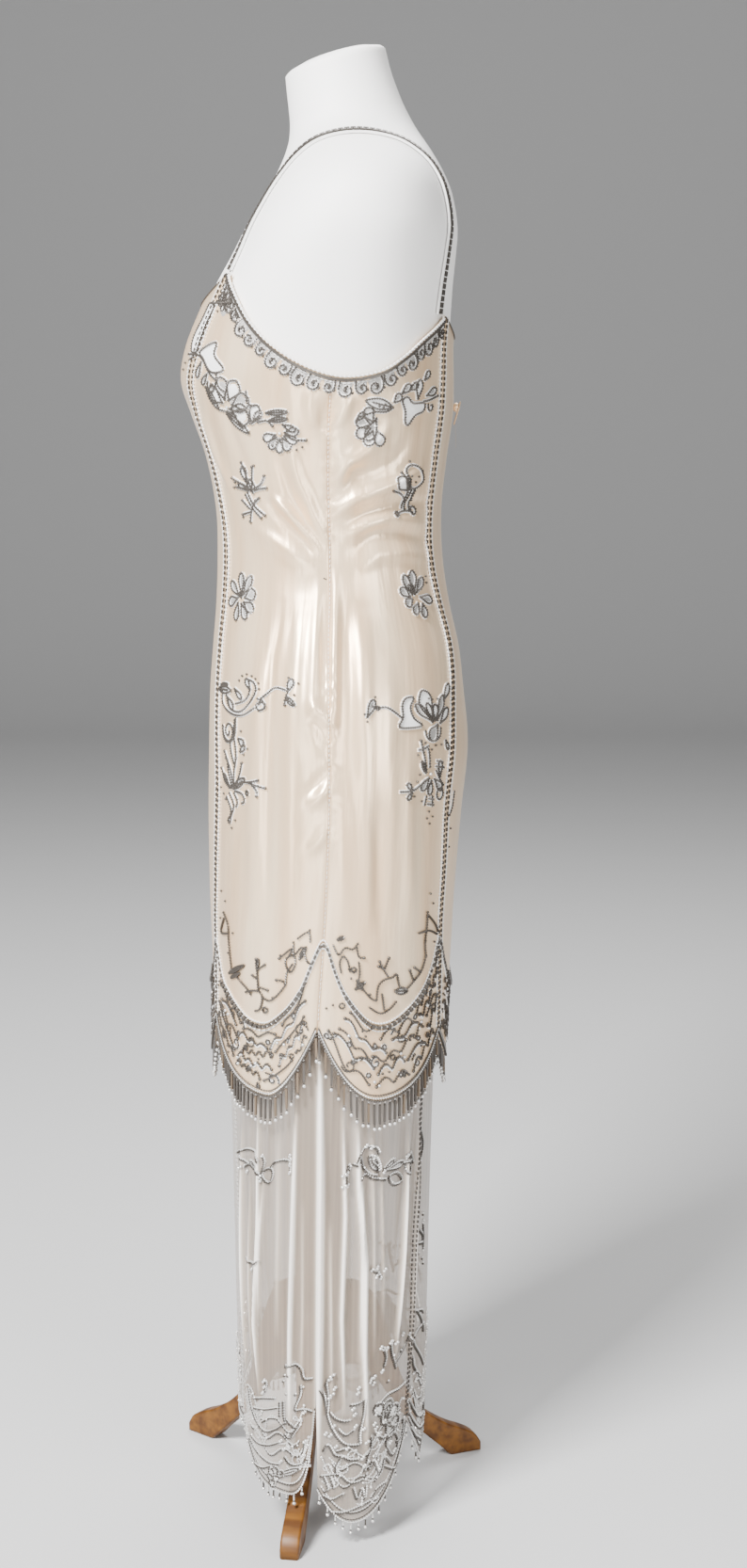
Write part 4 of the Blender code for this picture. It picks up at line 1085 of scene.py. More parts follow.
MIDDLE_MOTIFS = [
    (-32.6, 1.010, [  # front sprig
        ("branch", 2.5, 2, -2.5, 14.5, -7.5, 26.5), ("branch", 2.5, 2, 4.5, 14, 6, 23),
        ("branch", 0.5, 1.5, -11, 7.5, -22.5, 12), ("branch", -1, 1, -17.5, 4),
        ("branch", 2.5, 2, 13, 7, 18, 15), ("branch", 5, 1, 11.5, 3, 19, 4),
        ("petal", 7, -3.5, 8.5, -6.5, 23.5), ("bud", 4.5, -0.5, 3.5, -15.5, 6.5),
        ("line", 7.5, 3.5, 2, 12, -2.5, 6, 4.5, -1.5), ("branch", -3.5, 0, 3, -12, 15, -21),
        ("branch", -6.5, -2, 0, -13.5, 10.5, -23.5), ("branch", 6, -6.5, 0, -15.5, -2.5, -27.5),
        ("branch", -2.5, -15.5, -11.5, -8), ("branch", -0.5, -18, -13, -21), ("branch", 3, -11, 9.5, -5.5),
        ("dots", -19.5, 8, -22, 3.5, -13, -23.5, 8, 24),
    ]),
    (35.6, 1.012, [  # back sprig
        ("line", 5, 0, 0, -9.5, -2.5, -19.5), ("line", 10.5, -0.5, 5, -10.5, 4, -20),
        ("line", 1, 1, -2.5, -8.5, -6, -18), ("line", -14.5, -23.5, -7, -20.5, 2.5, -20, 9.5, -22),
        ("ring", -13.5, -22.5, -11, -23), ("ring", 9.5, -20, 13.5, -20), ("petal", 11, 0, -1, -17, 10),
        ("petal", 5.5, 1, 1, -7.5, 11.5),
        ("loop", 6, 0.5, -5.5, 14, -1.5, 21.5, 8.5, 20.5, 20.5, 11.5, 20, 5.5),
        ("dots", -0.5, 12, 11.5, 11.5, 9.5, 6.5, -1, 25.5, 16.5, 16.5, 2, 21.5),
        ("branch", -1, -9.5, -10, -3, -20, -0.5), ("branch", 4, 0, -7, 10.5, -11, 15),
        ("line", 9, -1, 6, -6, 8, -10.5),
    ]),
    (-38.8, 0.913, [  # front cluster
        ("bud", 8, 0, 1.5, -3, 23), ("bud", 8, -3, 0.5, -20.5, 13.5), ("bud", 8, 2.5, 2, 12.5, 20.5),
        ("bud", 9, -4.5, -1, -22, -7), ("bud", 11.5, 4.5, -0.5, 19, 5.5), ("bud", 9, 3.5, -4, 18.5, -11),
        ("bud", 8, -4, -4.5, -5.5, -22), ("bud", 8, 0.5, -5, 10, -20), ("petal", 5.5, 0, -1, -0.5, 6),
    ]),
    (38.8, 0.915, [  # back cluster
        ("bud", 10, 0, 1, 0, 23), ("bud", 8, -2.5, 0, -11.5, 19.5), ("bud", 8, 3, 1.5, 16, 15.5),
        ("bud", 8, -5.5, -1.5, -17, 7), ("bud", 9, -3, -3, -12, -8.5), ("bud", 8, 6.5, -2, 27.5, -7),
        ("petal", 6.5, 1.5, 0, -6, 10.5), ("bud", 8, 4, -7, -3, -17.5), ("bud", 9, 9.5, -7.5, 11.5, -21.5),
        ("dots", 21.5, 16, 21.5, 10, 10.5, 4.5, 2.5, -8.5),
    ]),
    (-29.0, 0.821, [  # front flower of the hip
        ("line", -43.5, 6.5, -40.5, -6, -23, -13, -5.5, -13.5, 9.5, -7.5, 20.5, 0),
        ("line", -33.5, 2.5, -25.5, -8, -8.5, -10.5, 6.5, -1, 14.5, 10.5, 10, 17.5, 0.5, 19.5),
        ("line", -15.5, -4, -1.5, 0.5, 5, 8, 3, 14.5), ("bud", 5.5, 6, 10.5, -3.5, 20),
        ("dots", -13.5, 17.5, -9.5, 22, -3, 24, 5, 23, 11.5, 21, 16, 17.5, 17.5, 12.5),
        ("leaf", 6.5, -54, 6, -24.5, 7), ("leaf", 3.5, -49.5, 9.5, -31.5, 12),
        ("bud", 6.5, -31, 1, -18, -9.5), ("bud", 4.5, -20, 10, -5.5, 1), ("ring", 20.5, -2.5, 24.5, -2),
        ("line", 16.5, 4, 22.5, 2, 25, -4, 19, -7), ("line", 20, 3.5, 26.5, 9.5, 36.5, 14.5, 48, 13),
        ("bud", 6.5, 50, 11, 54.5, 23.5), ("branch", 50, 10, 48.5, 6, 48, 0),
        ("leaf", 4.5, 48.5, 7.5, 58.5, -0.5), ("dots", 57, 9.5, 60, 19.5, 50, 24, 47.5, 4, 57.5, 0.5),
    ]),
    (-33.0, 0.754, [  # front drop of sprigs
        ("scroll", 1.6, -14.5, 37, -26, 41), ("line", -28.5, 41.5, -22, 31, -9.5, 28, -1.5, 35, -2, 50.5),
        ("line", -3.5, 49.5, -3.5, 36, 2, 19.5, 1.5, 6.5), ("line", -10, 30, -6.5, 18.5, -0.5, 8.5),
        ("bud", 6.5, 3.5, 32.5, 14.5, 27.5), ("bud", 5.5, 8, 20, 16, 27.5),
        ("dots", 7.5, 39.5, 20, 25, 14, 19, -2, 37, -17.5, 11.5), ("branch", 0.5, -14, -7, 2.5, -20.5, 18),
        ("branch", 0.5, -12, 0, 1.5, 2.5, 14), ("branch", 3.5, -11.5, 9.5, 1, 12, 11),
        ("branch", -3, -14.5, -18.5, -6, -26, 1.5), ("branch", -3, -12.5, -10.5, 0.5, -13, 10.5),
        ("bud", 5.5, -6.5, -15, -21, -3), ("leaf", 6.5, -1, -14, 19, -2),
        ("branch", -1, -15, 12.5, -7, 24, -5, 36, -2), ("branch", 23, -5, 32.5, -6.5, 42.5, -9),
        ("branch", 30, -6.5, 35, -11.5, 35, -16.5), ("ring", 23, -15, 25.5, -15),
        ("line", 2, -16, 14, -17, 18.5, -23.5, 13, -26),
        ("dots", -27.5, -17, -20, -21.5, -15.5, -26, 36, -7), ("line", -8, -18.5, 1, -29.5, -5, -42.5),
        ("line", -13.5, -23, -4, -33.5, -5, -42.5), ("line", 0.5, -17.5, 7, -25, 4.5, -31),
        ("bud", 4.5, -3.5, -39, -8.5, -47.5), ("dots", -3, -51, 3, -43),
    ]),
    (32.3, 0.808, [  # back flower of the hip
        ("petal", 18, 17, -8.5, 6, 22.5), ("bud", 8, 16, -7, -4.5, 10.5), ("petal", 6.5, 19, -7, 10.5, 11),
        ("petal", 8, 20.5, -7.5, 24.5, 8.5), ("bud", 9, 23.5, -7.5, 40, 15),
        ("petal", 8, 27.5, -10.5, 46.5, 2), ("petal", 8, 38.5, 9.5, 55.5, 23.5),
        ("blade", -15, 16.5, -5, 16.5, -10.5, 8.5, -7.5, -2, 2.5, -9, -11.5, -10, -26, -8, -20, 0, -20, 10),
        ("bud", 12.5, 24.5, -10.5, 11, -23.5),
        ("line", 5.5, -14, 7, -21, 16, -25, 25.5, -21.5, 28.5, -13.5),
        ("dots", 15, 14, 20.5, 12.5, 28.5, 12.5), ("line", -45.5, 10, -38, 10.5, -29, 5, -21, -0.5),
        ("ring", -46.5, 10, -44.5, 10), ("bud", 6.5, -58.5, 2, -49.5, 18.5),
        ("dots", -53.5, 17, -48.5, 20, -60, 5.5, -58, -1, -52, 12),
    ]),
    (34.8, 0.749, [  # back drop of sprigs
        ("branch", -4, 12, -6.5, 25, -9, 36.5), ("line", -13.5, 28.5, -6.5, 28.5, 2, 31),
        ("line", 1, 10.5, 1, 24, 0, 28.5), ("dots", -14, 24, 12, 30, 5.5, 27, 21.5, 29.5, -3, 34),
        ("bud", 5.5, 29, 33, 33, 23.5), ("bud", 7, 16.5, -0.5, 17.5, 16), ("line", 11, 16, 22.5, 13),
        ("line", 9.5, 11, 24.5, 8), ("leaf", 4.5, -4, 6, -10, 18.5), ("bud", 8, 0, 2, -11.5, -9),
        ("bud", 7, 3, -0.5, 0, -15), ("bud", 8, 7, 0, 20.5, -12.5), ("line", 10, 7.5, 16.5, -2, 23.5, -8.5),
        ("ring", 17, -15.5, 22.5, -16.5), ("line", -2.5, 0.5, -14, -4.5, -24, -7.5, -38, -7),
        ("petal", 4.5, -24, -7.5, -29.5, 0.5), ("petal", 4.5, -24, -8.5, -29.5, -15.5),
        ("dots", -12.5, 6, -16.5, 0, -21, -13, -10, -19), ("line", -4, -14.5, -6.5, -23.5),
        ("line", 4.5, -15.5, 5, -26), ("line", -1, -17.5, 7.5, -19.5), ("line", -2.5, -22.5, 8, -25),
        ("dots", 0.5, -30, 6.5, -35.5, -2, -36, 2, -41.5), ("balls", 1.5, 5),
    ]),
    (50.6, 0.705, [  # sprigs by the back seam
        ("branch", 4, 26.5, 1, 10.5, -6, 4.5), ("dots", 1.5, -9.5, 0, -27),
    ]),
]
SWAG_MOTIFS = [
    (-20.7, 0.566, [  # front swag
        ("branch", -60.5, 53.5, -50.5, 43, -50, 27, -46.5, 0),
        ("dots", -64.5, 72.5, -55.5, 64.5, -41.5, 36.5, -53, 15, -69.5, 45.5),
        ("line", -59, 47.5, -68.5, 32, -51.5, 34), ("leaf", 3.5, -53, -5, -23, 9.5),
        ("leaf", 2.5, -49, -8.5, -31, 0), ("line", -37.5, -4.5, -22.5, -12, -15, -18),
        ("branch", -6, -12.5, -6.5, 2.5, -7.5, 18), ("branch", -7, -1, -13, 1.5),
        ("branch", -6.5, 8, 2.5, 14), ("branch", -6, -8, 5, -10), ("bud", 3.5, -7.5, 8, -5, 19),
        ("line", -24, -17, -14.5, -13.5, -4, -13, -1.5, -20, -5.5, -30.5, -11.5, -32.5),
        ("ring", 1.5, -29.5, 4.5, -29), ("line", -1.5, -17.5, 7, -20, 16, -12.5, 24, -2.5),
        ("branch", 24, -2.5, 20.5, 1, 14.5, 1), ("line", 24, -2.5, 25, 8.5, 31, 18),
        ("loop", 24.5, 22, 32, 26, 33.5, 18, 29, 9.5, 25, 14), ("branch", 26.5, 23, 31, 33, 18, 22),
        ("line", 32, 36.5, 32.5, 26, 40, 34.5, 44, 21, 48.5, 18.5), ("line", 35.5, 42, 46, 49, 47.5, 39),
        ("leaf", 3.5, 37, 22, 44, 35.5), ("dots", 32, 38.5, 47, 50.5, 19, 25, 10, -16.5),
    ]),
    (17.2, 0.568, [  # back swag
        ("line", -45.5, 35, -40.5, 25, -34.5, 32, -27.5, 30, -22.5, 36),
        ("leaf", 3.5, -42, 39.5, -34.5, 42.5), ("line", -38, 8, -39.5, 18, -36, 24, -32, 18.5, -30, 8.5),
        ("branch", -24, 32.5, -22, 22.5, -17, 21.5), ("line", -22, 18, -21, 5.5, -24, -5),
        ("leaf", 3.5, -25.5, -8.5, -15, -1), ("leaf", 3.5, -24, 1, -17.5, -10),
        ("line", -17.5, -9, -10, -18, -4.5, -21),
        ("line", -4.5, -20.5, -3, -7, 3, -1.5, 12, -0.5, 16.5, 2.5, 20, -10, 28.5, -15),
        ("branch", 7, 1, 1, 10.5, -2, 16.5), ("branch", 3, 8.5, 5.5, 14.5, 7.5, 19),
        ("branch", 2, 9, -3, 12), ("line", 1, -14.5, 2.5, -24, 3.5, -31),
        ("line", -12, -26, -0.5, -33.5, 9.5, -30.5, 17, -24), ("leaf", 6.5, 14.5, -14, 31, -16.5),
        ("branch", 28.5, -15, 37, -9.5, 49.5, -1, 56.5, 12), ("branch", 38.5, -9, 32.5, 3),
        ("branch", 48, -1.5, 39, 4.5), ("line", 56.5, 55.5, 56, 40.5, 54, 24.5, 56.5, 12),
        ("line", 43, 36.5, 60, 36, 78, 28.5), ("line", 57, 52, 72.5, 39.5, 80, 30.5),
        ("dots", -29, 2.5, -31, 11.5, -11, -14, 55.5, 27, 72.5, 22.5, 66.5, 61, 60.5, 71.5),
        ("ring", -26.5, 10.5, -24, 10),
    ]),
]
NET_MOTIFS = [
    (-25.3, 0.378, [  # front row
        ("line", -63, -3, -31, 10, -13.5, 11.5, -5.5, 4), ("branch", -4.5, -8, -23.5, -4.5, -51.5, -4),
        ("branch", -4.5, -8, -19.5, -1.5, -39.5, -10), ("branch", -3, -7.5, 4, 4, 0.5, 10.5),
        ("leaf", 5.5, -6, -7, -27, 0), ("loop", 1, -5.5, 11.5, 1, 15, -5, 9, -14.5, 1, -11),
        ("line", 10.5, -0.5, 17.5, 8, 26.5, 12, 34, 12.5),
        ("balls", 37, 17.5, 39, 14, 37, 9, 37, 1, -32.5, -13, -45.5, -12.5, -4.5, -10.5, -3.5, -14),
        ("line", 37, 16.5, 37, 7.5, 37, 0),
    ]),
    (15.7, 0.382, [  # back row
        ("line", -18, 6, -14.5, 16, -5, 22, 6, 19.5, 10, 13),
        ("line", -14.5, 13, -10.5, 3.5, -3, -4, 7, -8), ("leaf", 8, 10.5, -4, -2, 13.5),
        ("bud", 4.5, 9.5, -1.5, 1, 10), ("petal", 5.5, 16, -5, 42.5, -2.5), ("petal", 3.5, 15, -3, 29.5, 4),
        ("loop", 22, -12, 32.5, -11, 40, -20.5, 27.5, -21.5),
        ("line", -13.5, -8.5, -7, -4.5, 3, -10, 18.5, -14), ("scroll", 1.3, 51.5, -8.5, 61, -6),
        ("line", 42.5, -4.5, 53, -3.5, 63.5, -8.5),
        ("balls", -32, -1.5, -35, -2.5, -31.5, -13, -35, -13.5, 1, 21, -5, 23, 47.5, 3, 15, -5.5),
        ("line", -30.5, 4, -32, -3.5, -31.5, -13.5), ("petal", 4.5, -30.5, -1, -27, 6.5),
        ("line", -23.5, 7, -16, 6),
    ]),
    (3.8, 0.292, [  # small sprigs
        ("balls", 51.5, -10.5, 57.5, -9.5, 67.5, -13.5, 59, -15.5, 63.5, -21, 55, -17.5),
        ("line", 51.5, -10.5, 59, -15.5, 64.5, -21), ("line", -148.5, -17, -127, -17, -110, -9),
        ("branch", -127, -17, -131.5, -24.5),
    ]),
    (44.8, 0.275, [  # back panel
        ("branch", 0, 124.5, 7, 108, -0.5, 96.5), ("bud", 4.5, 15, 18.5, 16, 5.5),
        ("branch", 1.5, 23.5, 15.5, 11.5, 16.5, -1.5), ("branch", -0.5, 10, 16, 7.5, 14.5, 27.5),
        ("dots", 13.5, 35.5, 13.5, -10, 0, 0, 18, -16.5),
        ("line", -5, -56.5, 15, -74, 26, -90.5, 24.5, -83), ("line", -7.5, -57.5, 14, -64, 23, -69.5),
        ("branch", -11.5, -83.5, 5, -80, 24.5, -82),
    ]),
    (-19.8, 0.122, [  # front net scallop
        ("balls", -17.5, 37, -16.5, 31.5, -19.5, 24.5), ("line", -19, 38.5, -13.5, 36.5, -16.5, 26),
        ("line", -49, 18, -45.5, 3, -33, -10, -18, -15, -1.5, -7, 10, 2.5),
        ("line", -38, 11.5, -18, 19.5, -2, 24.5), ("line", -38.5, 1.5, -18.5, 7.5, 1.5, 16),
        ("line", 4, 22.5, 3.5, 7), ("line", 8.5, 24.5, 9, 6.5, 12.5, 2.5),
        ("line", -22.5, -7.5, -10, 1.5, 1.5, 4.5), ("line", -48, -31, -30.5, -32.5, -11, -27, 4.5, -18.5),
        ("line", -51, -35.5, -35, -42.5, -13, -45.5, 2.5, -42.5),
        ("line", 8.5, -33, 16, -39, 27, -37, 34.5, -30), ("line", -40.5, -58, -24.5, -56, -9, -48),
        ("fan", 5, -1.5, -59.5, -11.5, -51), ("leaf", 5.5, 3.5, -53, 27, -41),
        ("line", 12, 59.5, 14, 63.5, 22, 65, 28.5, 62, 30.5, 51.5, 39.5, 52.5),
        ("dots", 10, 51, 8.5, 45, 17, 54.5, 29.5, 42, 13, 33.5, 22, 34),
        ("line", 27.5, 44.5, 27.5, 35, 23.5, 25, 21.5, 17.5, 30, 20, 38.5, 18.5),
        ("line", 12.5, 8, 17.5, 2.5, 22.5, -0.5, 28, 8), ("line", 9, -9, 15, -12.5, 21.5, -4.5, 27, 4),
        ("line", 31.5, -13, 30, -23, 28, -29), ("dots", 8.5, -25, 18, -29.5, 23, -19),
        ("balls", 4.5, -17.5, 8.5, -25, 31.5, -13, 29, -28, 27, 9, 31, 17, 4, -39),
    ]),
    (12.2, 0.118, [  # back net scallop
        ("balls", -27.5, 60.5, -29, 56.5, -25.5, 47, -27.5, 41, -29.5, 37.5),
        ("line", -34.5, 50.5, -31, 56.5, -25.5, 61),
        ("line", -40, 48.5, -35.5, 37.5, -31, 14, -24, -1.5, -15, -11.5, -2, -13.5),
        ("line", -33, 50.5, -31, 37.5, -32, 22), ("line", -29.5, 22, -25, 16, -17.5, 12.5, -10.5, 13),
        ("line", -10.5, 28.5, -1, 29.5, 4.5, 34), ("line", 4, 32.5, 3, 15, -1, 0, -1, -13.5),
        ("balls", -2, 45, -3, 40, 11.5, 52, 16, 53.5, 15, 47, 9.5, 50.5, 18.5, 15, 16.5, 5),
        ("balls", -6, 18.5, -7.5, 24.5, -5, 6.5, -26, 8, -34, 0.5, -29.5, -1.5, -24, -13, -13, -15.5),
        ("line", -22, 4.5, -15, -2, -6.5, 3), ("line", -37.5, -17, -31.5, -11, -25, -22, -18.5, -23),
        ("line", -18.5, -23, -11.5, -27.5, -2, -28), ("line", -18.5, -24, -24, -32.5, -24, -40.5),
        ("line", -40.5, -43.5, -29.5, -42, -20.5, -42.5, -11.5, -51, 0, -50.5, 7, -44.5),
        ("line", -36, -44, -31.5, -56, -35, -59.5), ("line", -29.5, -44, -26, -56),
        ("line", -38, -63.5, -28.5, -67.5, -17, -62),
        ("line", -7.5, -57, -3.5, -69.5, 1, -58.5, 4, -71, 6, -57.5),
        ("line", -28, -81, -17, -81.5, -3.5, -77.5, 12.5, -73), ("line", 12.5, -71, 21.5, -62, 31.5, -59.5),
        ("line", 4, -41.5, 8, -29, 12, -16.5, 12, -6.5), ("line", 9, -41, 15.5, -32.5, 21.5, -46),
        ("line", 17, -54.5, 26, -44, 28.5, -33, 36.5, -41.5), ("line", 28.5, -42.5, 42.5, -50, 49, -44.5),
        ("leaf", 8, 25.5, 1.5, 35.5, 21.5), ("fan", 5, 28, 4.5, 47.5, 15),
        ("line", 20.5, 22.5, 32.5, 30.5, 47, 31, 61, 33.5), ("line", 25.5, 15, 25.5, 3.5, 36, 2, 51, 10),
        ("branch", 27, 61, 29.5, 70, 27, 79.5), ("branch", 43.5, 54, 37.5, 71.5, 35.5, 83.5),
        ("branch", 40.5, 59, 56, 70.5, 67, 81), ("dots", 40, 68.5, 32.5, 44, 51, 69.5),
        ("balls", 25, 57, 23.5, 81.5, 30.5, 78.5, 37, 83.5, 43, 81.5, 53.5, 86),
        ("balls", 18.5, 0.5, 21, -7, 4, 3, 7, -11, 2, -27.5, 4, -36, 36.5, -20, 42.5, -30),
        ("line", 16.5, -3.5, 26, -12.5, 36, -10, 48, -4.5),
        ("loop", 31, -18, 42, -12, 48.5, -24.5, 39.5, -35), ("line", 45.5, -23.5, 55.5, -17.5, 57, -3),
    ]),
    (46.2, 0.137, [  # back net panel
        ("line", -21, 58, -3, 39, 21.5, 16.5, 28.5, 9.5), ("line", -15.5, 36, -7.5, 21, 14.5, 1.5),
        ("line", -20, -7.5, -4, -26, 15, -40.5, 40, -46, 38, -33),
        ("line", -19.5, -21.5, -3, -38.5, 16, -53, 42.5, -59.5), ("line", -14, -39.5, 0.5, -54, 22, -68),
        ("balls", -16, 3, 33.5, -15, 29.5, -29, 40.5, -48.5, -3.5, 6.5),
    ]),
]


SIZED_IN_MM = ("leaf", "petal", "bud")
SIZED = SIZED_IN_MM + ("scroll", "fan", "flower")


def lay_motifs(group, cloth, table, tone="dark", radius=0.0015, shift=0.0, corded=True):
    """Lay the motifs of a table, all moved by one shift across and up."""
    turn = np.linspace(-89, 89, 357)
    for angle, height, parts in table:
        run = run_along(cloth(turn, height + 0 * turn))
        middle = np.interp(angle, turn, run)
        for kind, *values in parts:
            size = values.pop(0) if kind in SIZED else 0
            away = np.array(values, float).reshape(-1, 2) / 1000 + shift
            places = np.stack([np.interp(middle + away[:, 0], run, turn), height + away[:, 1]], -1)
            if kind in SIZED_IN_MM:
                size = size / 1000
            draw(group, cloth, kind, size, places, tone, radius, corded)


# The comma's line and its filled shape, in millimetres along the edge and down from it.
COMMA = [(-5.0, -1.0), (-6.2, 5.5), (-4.0, 11.0), (0.8, 12.6), (4.8, 9.8), (5.0, 5.6), (2.0, 3.2),
         (-1.2, 4.8), (-0.8, 8.0), (1.6, 8.4)]
COMMA_FILL = [(-5.4, 0.0), (-6.2, 5.5), (-4.0, 11.0), (0.8, 12.6), (4.8, 9.8), (6.0, 4.5), (6.2, 0.0),
              (0.0, -0.8)]
COMMAS = 20
COMMA_DROP = 0.0052
COMMA_SIZES = (1.0, 0.86, 1.08, 0.94, 0.80)
CORNER_FILL = [(-46.4, 1.197), (-46.4, 1.176), (-42.5, 1.166), (-39.5, 1.178), (-43.0, 1.189)]
CORNER_RINGS = (3, 3, 2, 2)


def border_armhole():
    """Comma shapes side by side under the armhole's edge, and a lattice of rings in its front corner."""
    angles = np.linspace(-46.5, 50.0, 400)
    run = run_along(satin(angles, armhole(angles)))
    for index, at in enumerate(np.linspace(0.030, run[-1] - 0.007, COMMAS)):
        ends = np.interp([at, at + 0.004], run, angles)
        base, tip = ((angle, armhole(angle) - COMMA_DROP) for angle in ends)
        place = local_frame(satin, base, tip)[1]
        size = COMMA_SIZES[index % len(COMMA_SIZES)] / 1000
        lean = 1 if index % 3 else -1
        comma, fill = (softened(np.array(line) * (lean * size, -size), steps=4)
                       for line in (COMMA, COMMA_FILL))
        set_patch("border", satin, place(fill[:, 0], fill[:, 1])[::2], "grey")
        line = place(comma[:, 0], comma[:, 1])
        string_beads("border", satin, line, SEED_PITCH, 0.0016)
        lay_cord("border", satin, line, 0.0023, -0.0026)
        balls = [place(0.4 * size * lean, -5.8 * size), place(6.4 * size, -9.5 * size)]
        set_balls("border", satin, balls, 0.0013, "dark")
    set_patch("border", satin, softened(CORNER_FILL, closed=True, steps=4)[:-1], "grey")
    for column, rings in enumerate(CORNER_RINGS):
        angle = -45.6 + 2.0 * column
        for row in range(rings):
            height = float(armhole(angle)) - 0.010 - 0.0075 * row
            draw("border", satin, "ring", 0, [(angle, height), (angle + 1.1, height)], radius=0.0013)


GOLDEN = 0.618
SCROLL_TURNS = 1.2
LEAFLET = 0.0045


def branchwork(group, cloth, start, end, upper, lower, lines, seed, tone, radius):
    """Winding beaded twigs that fill the band between two lines, with small leaves and beads."""
    rng = np.random.default_rng(seed)
    middle = 0.5 * (start + end)
    scale = spot_scale(cloth, (middle, float(lower(middle))))
    for index in range(lines):
        angle = start + 1 + (end - start - 2) * (index + rng.uniform(0, 1)) / lines
        share = 0.12 + 0.78 * ((GOLDEN * index + rng.uniform(0, 0.12)) % 1)
        heading = rng.uniform(-0.7, 0.7) + (0 if rng.random() < 0.5 else math.pi)
        places = []
        for _ in range(rng.integers(4, 7)):
            low, high = float(lower(angle)), float(upper(angle))
            if not (start + 0.5 < angle < end - 0.5 and 0.08 < share < 0.93):
                break
            places.append((angle, low + (high - low) * share))
            heading += rng.uniform(-1.0, 1.0)
            stride = rng.uniform(0.005, 0.010)
            angle += stride * math.cos(heading) / scale
            share += stride * math.sin(heading) / (high - low)
        if len(places) < 2:
            continue
        draw(group, cloth, "branch", 0, places, tone, radius, False)
        base = places[len(places) // 2]
        turn = rng.uniform(0, 2 * math.pi)
        tip = (base[0] + 0.007 * math.cos(turn) / scale, base[1] + 0.007 * math.sin(turn))
        kind = rng.choice(["branch", "petal", "bud", "scroll", "dots"])
        size = SCROLL_TURNS if kind == "scroll" else LEAFLET
        draw(group, cloth, kind, size, [base, tip], tone, radius, False)


HEM_BANDS = ((-90, -56), (-53.5, -4), (-2, 48.5), (51, 90))
HEM_ROWS = (0.13, 0.34, 0.55, 0.74, 0.92)
HEM_SPRIGS = ("bud", "dots", "branch", "ring", "petal", "scroll", "balls")


def swag_height(angle):
    return np.interp(angle, *np.transpose(SWAG))


def fill_hem():
    """Wavy and cusped bead lines along the band between the swags and the hem, with sprigs and rings."""
    for index, (start, end) in enumerate(HEM_BANDS):
        rng = np.random.default_rng(40 + index)

        def place(angle, share):
            low, high = satin_hem(angle) + 0.008, swag_height(angle) - 0.006
            return place_line(angle, low + (high - low) * share)

        for row, share in enumerate(HEM_ROWS):
            at = start + 2.5 + 1.7 * row
            while at < end - 5:
                length = min(rng.uniform(6, 15), end - 2.5 - at)
                turn = np.linspace(0, math.pi * rng.integers(1, 5), 26)
                waves = np.abs(np.sin(turn)) if rng.random() < 0.55 else 0.5 + 0.5 * np.sin(turn + 0.8)
                tilt = rng.uniform(-0.06, 0.06) * np.linspace(-1, 1, 26)
                line = place(np.linspace(at, at + length, 26),
                             share + rng.uniform(-0.05, 0.02) + rng.uniform(0.08, 0.15) * waves + tilt)
                string_beads("hem_twigs", satin, line, 0.0026, 0.0015)
                if row % 2:
                    lay_cord("hem_twigs", satin, line - (0.0, 0.0022), 0.0009, 0.0)
                set_balls("hem_twigs", satin, [line[0], line[-1]], 0.0016, "dark")
                at += length + rng.uniform(1.2, 3.0)
        count = round((end - start) / 1.4)
        for spot in range(count):
            angle = start + 2.5 + (end - start - 5) * (spot + rng.uniform(0, 1)) / count
            base = place(angle, 0.06 + 0.88 * ((GOLDEN * spot + rng.uniform(0, 0.1)) % 1))
            turn = rng.uniform(0, 2 * math.pi)
            kind = HEM_SPRIGS[spot % len(HEM_SPRIGS)]
            reach = np.array([2.4 * math.cos(turn), 0.0060 * math.sin(turn)])
            if kind == "ring":
                reach = reach * 0.4
            size = SCROLL_TURNS if kind == "scroll" else LEAFLET
            draw("hem_twigs", satin, kind, size, [base, base + reach], radius=0.0013, corded=spot % 2 == 0)


FRINGE_BALLS = 0.0062
HEM_FRINGE = (satin, satin_hem, (0.0255, 0.0278), 0.0014, ("dark", "dark", "bronze"))
NET_FRINGE = (net, net_hem, (0.008, 0.0115), 0.0009, ("dark", "light", "light"))
FRINGES = [
    # piece, kind, start_angle, end_angle, strands
    ("fringe_front", HEM_FRINGE, -89, -55.6, 13),
    ("fringe_side_front", HEM_FRINGE, -54.4, -3.5, 27),
    ("fringe_side_back", HEM_FRINGE, -2.4, 49.4, 27),
    ("fringe_back", HEM_FRINGE, 50.6, 89, 13),
    ("net_fringe_front", NET_FRINGE, -88, -51, 8),
    ("net_fringe_side_front", NET_FRINGE, -49, -7, 14),
    ("net_fringe_side_back", NET_FRINGE, -3.5, 34.5, 14),
    ("net_fringe_back", NET_FRINGE, 36.5, 88, 9),
]


def hang_fringe(group, kind, start, end, strands):
    """Strands that each hold a small ball, a long bugle, a dark ball and a light ball at the end."""
    cloth, hem, lengths, radius, tones = kind
    rng = np.random.default_rng(strands)
    for angle in np.linspace(start, end, strands):
        length = rng.uniform(*lengths)
        angle += rng.uniform(-0.05, 0.05)
        top = cloth(np.array([angle]), hem(np.array([angle])))[0]
        outward = unit(top * (1, 1, 0))
        at = top - outward * 0.0006 - np.array([0, 0, 0.0004])
        sway = outward * rng.uniform(-0.02, 0.02) + np.cross(outward, (0, 0, 1)) * rng.uniform(-0.03, 0.03)
        down = unit(np.array([0, 0, -1.0]) + sway)
        for tone, shape, size, thick in [("light", "ball", 0.0018, 0.0010),
                                         (rng.choice(tones), "bugle", length - FRINGE_BALLS, radius),
                                         ("dark", "ball", 0.0012, 0.0012),
                                         ("light", "ball", 0.0036, 0.0019)]:
            bead = (at + down * 0.5 * size, down, outward, size * 0.96, thick)
            beads.setdefault((group, tone, shape), []).append([np.array([value]) for value in bead])
            at = at + down * size


NET_BANDS = [
    # start_angle, end_angle of the cords, then of the twigs, number of twigs, seed
    (-90, -50, -90, -51, 16, 30),
    (-49, -5, -48, -6, 14, 31),
    (-4, 35, -4, 34, 16, 32),
    (36, 90, 37, 90, 18, 33),
]


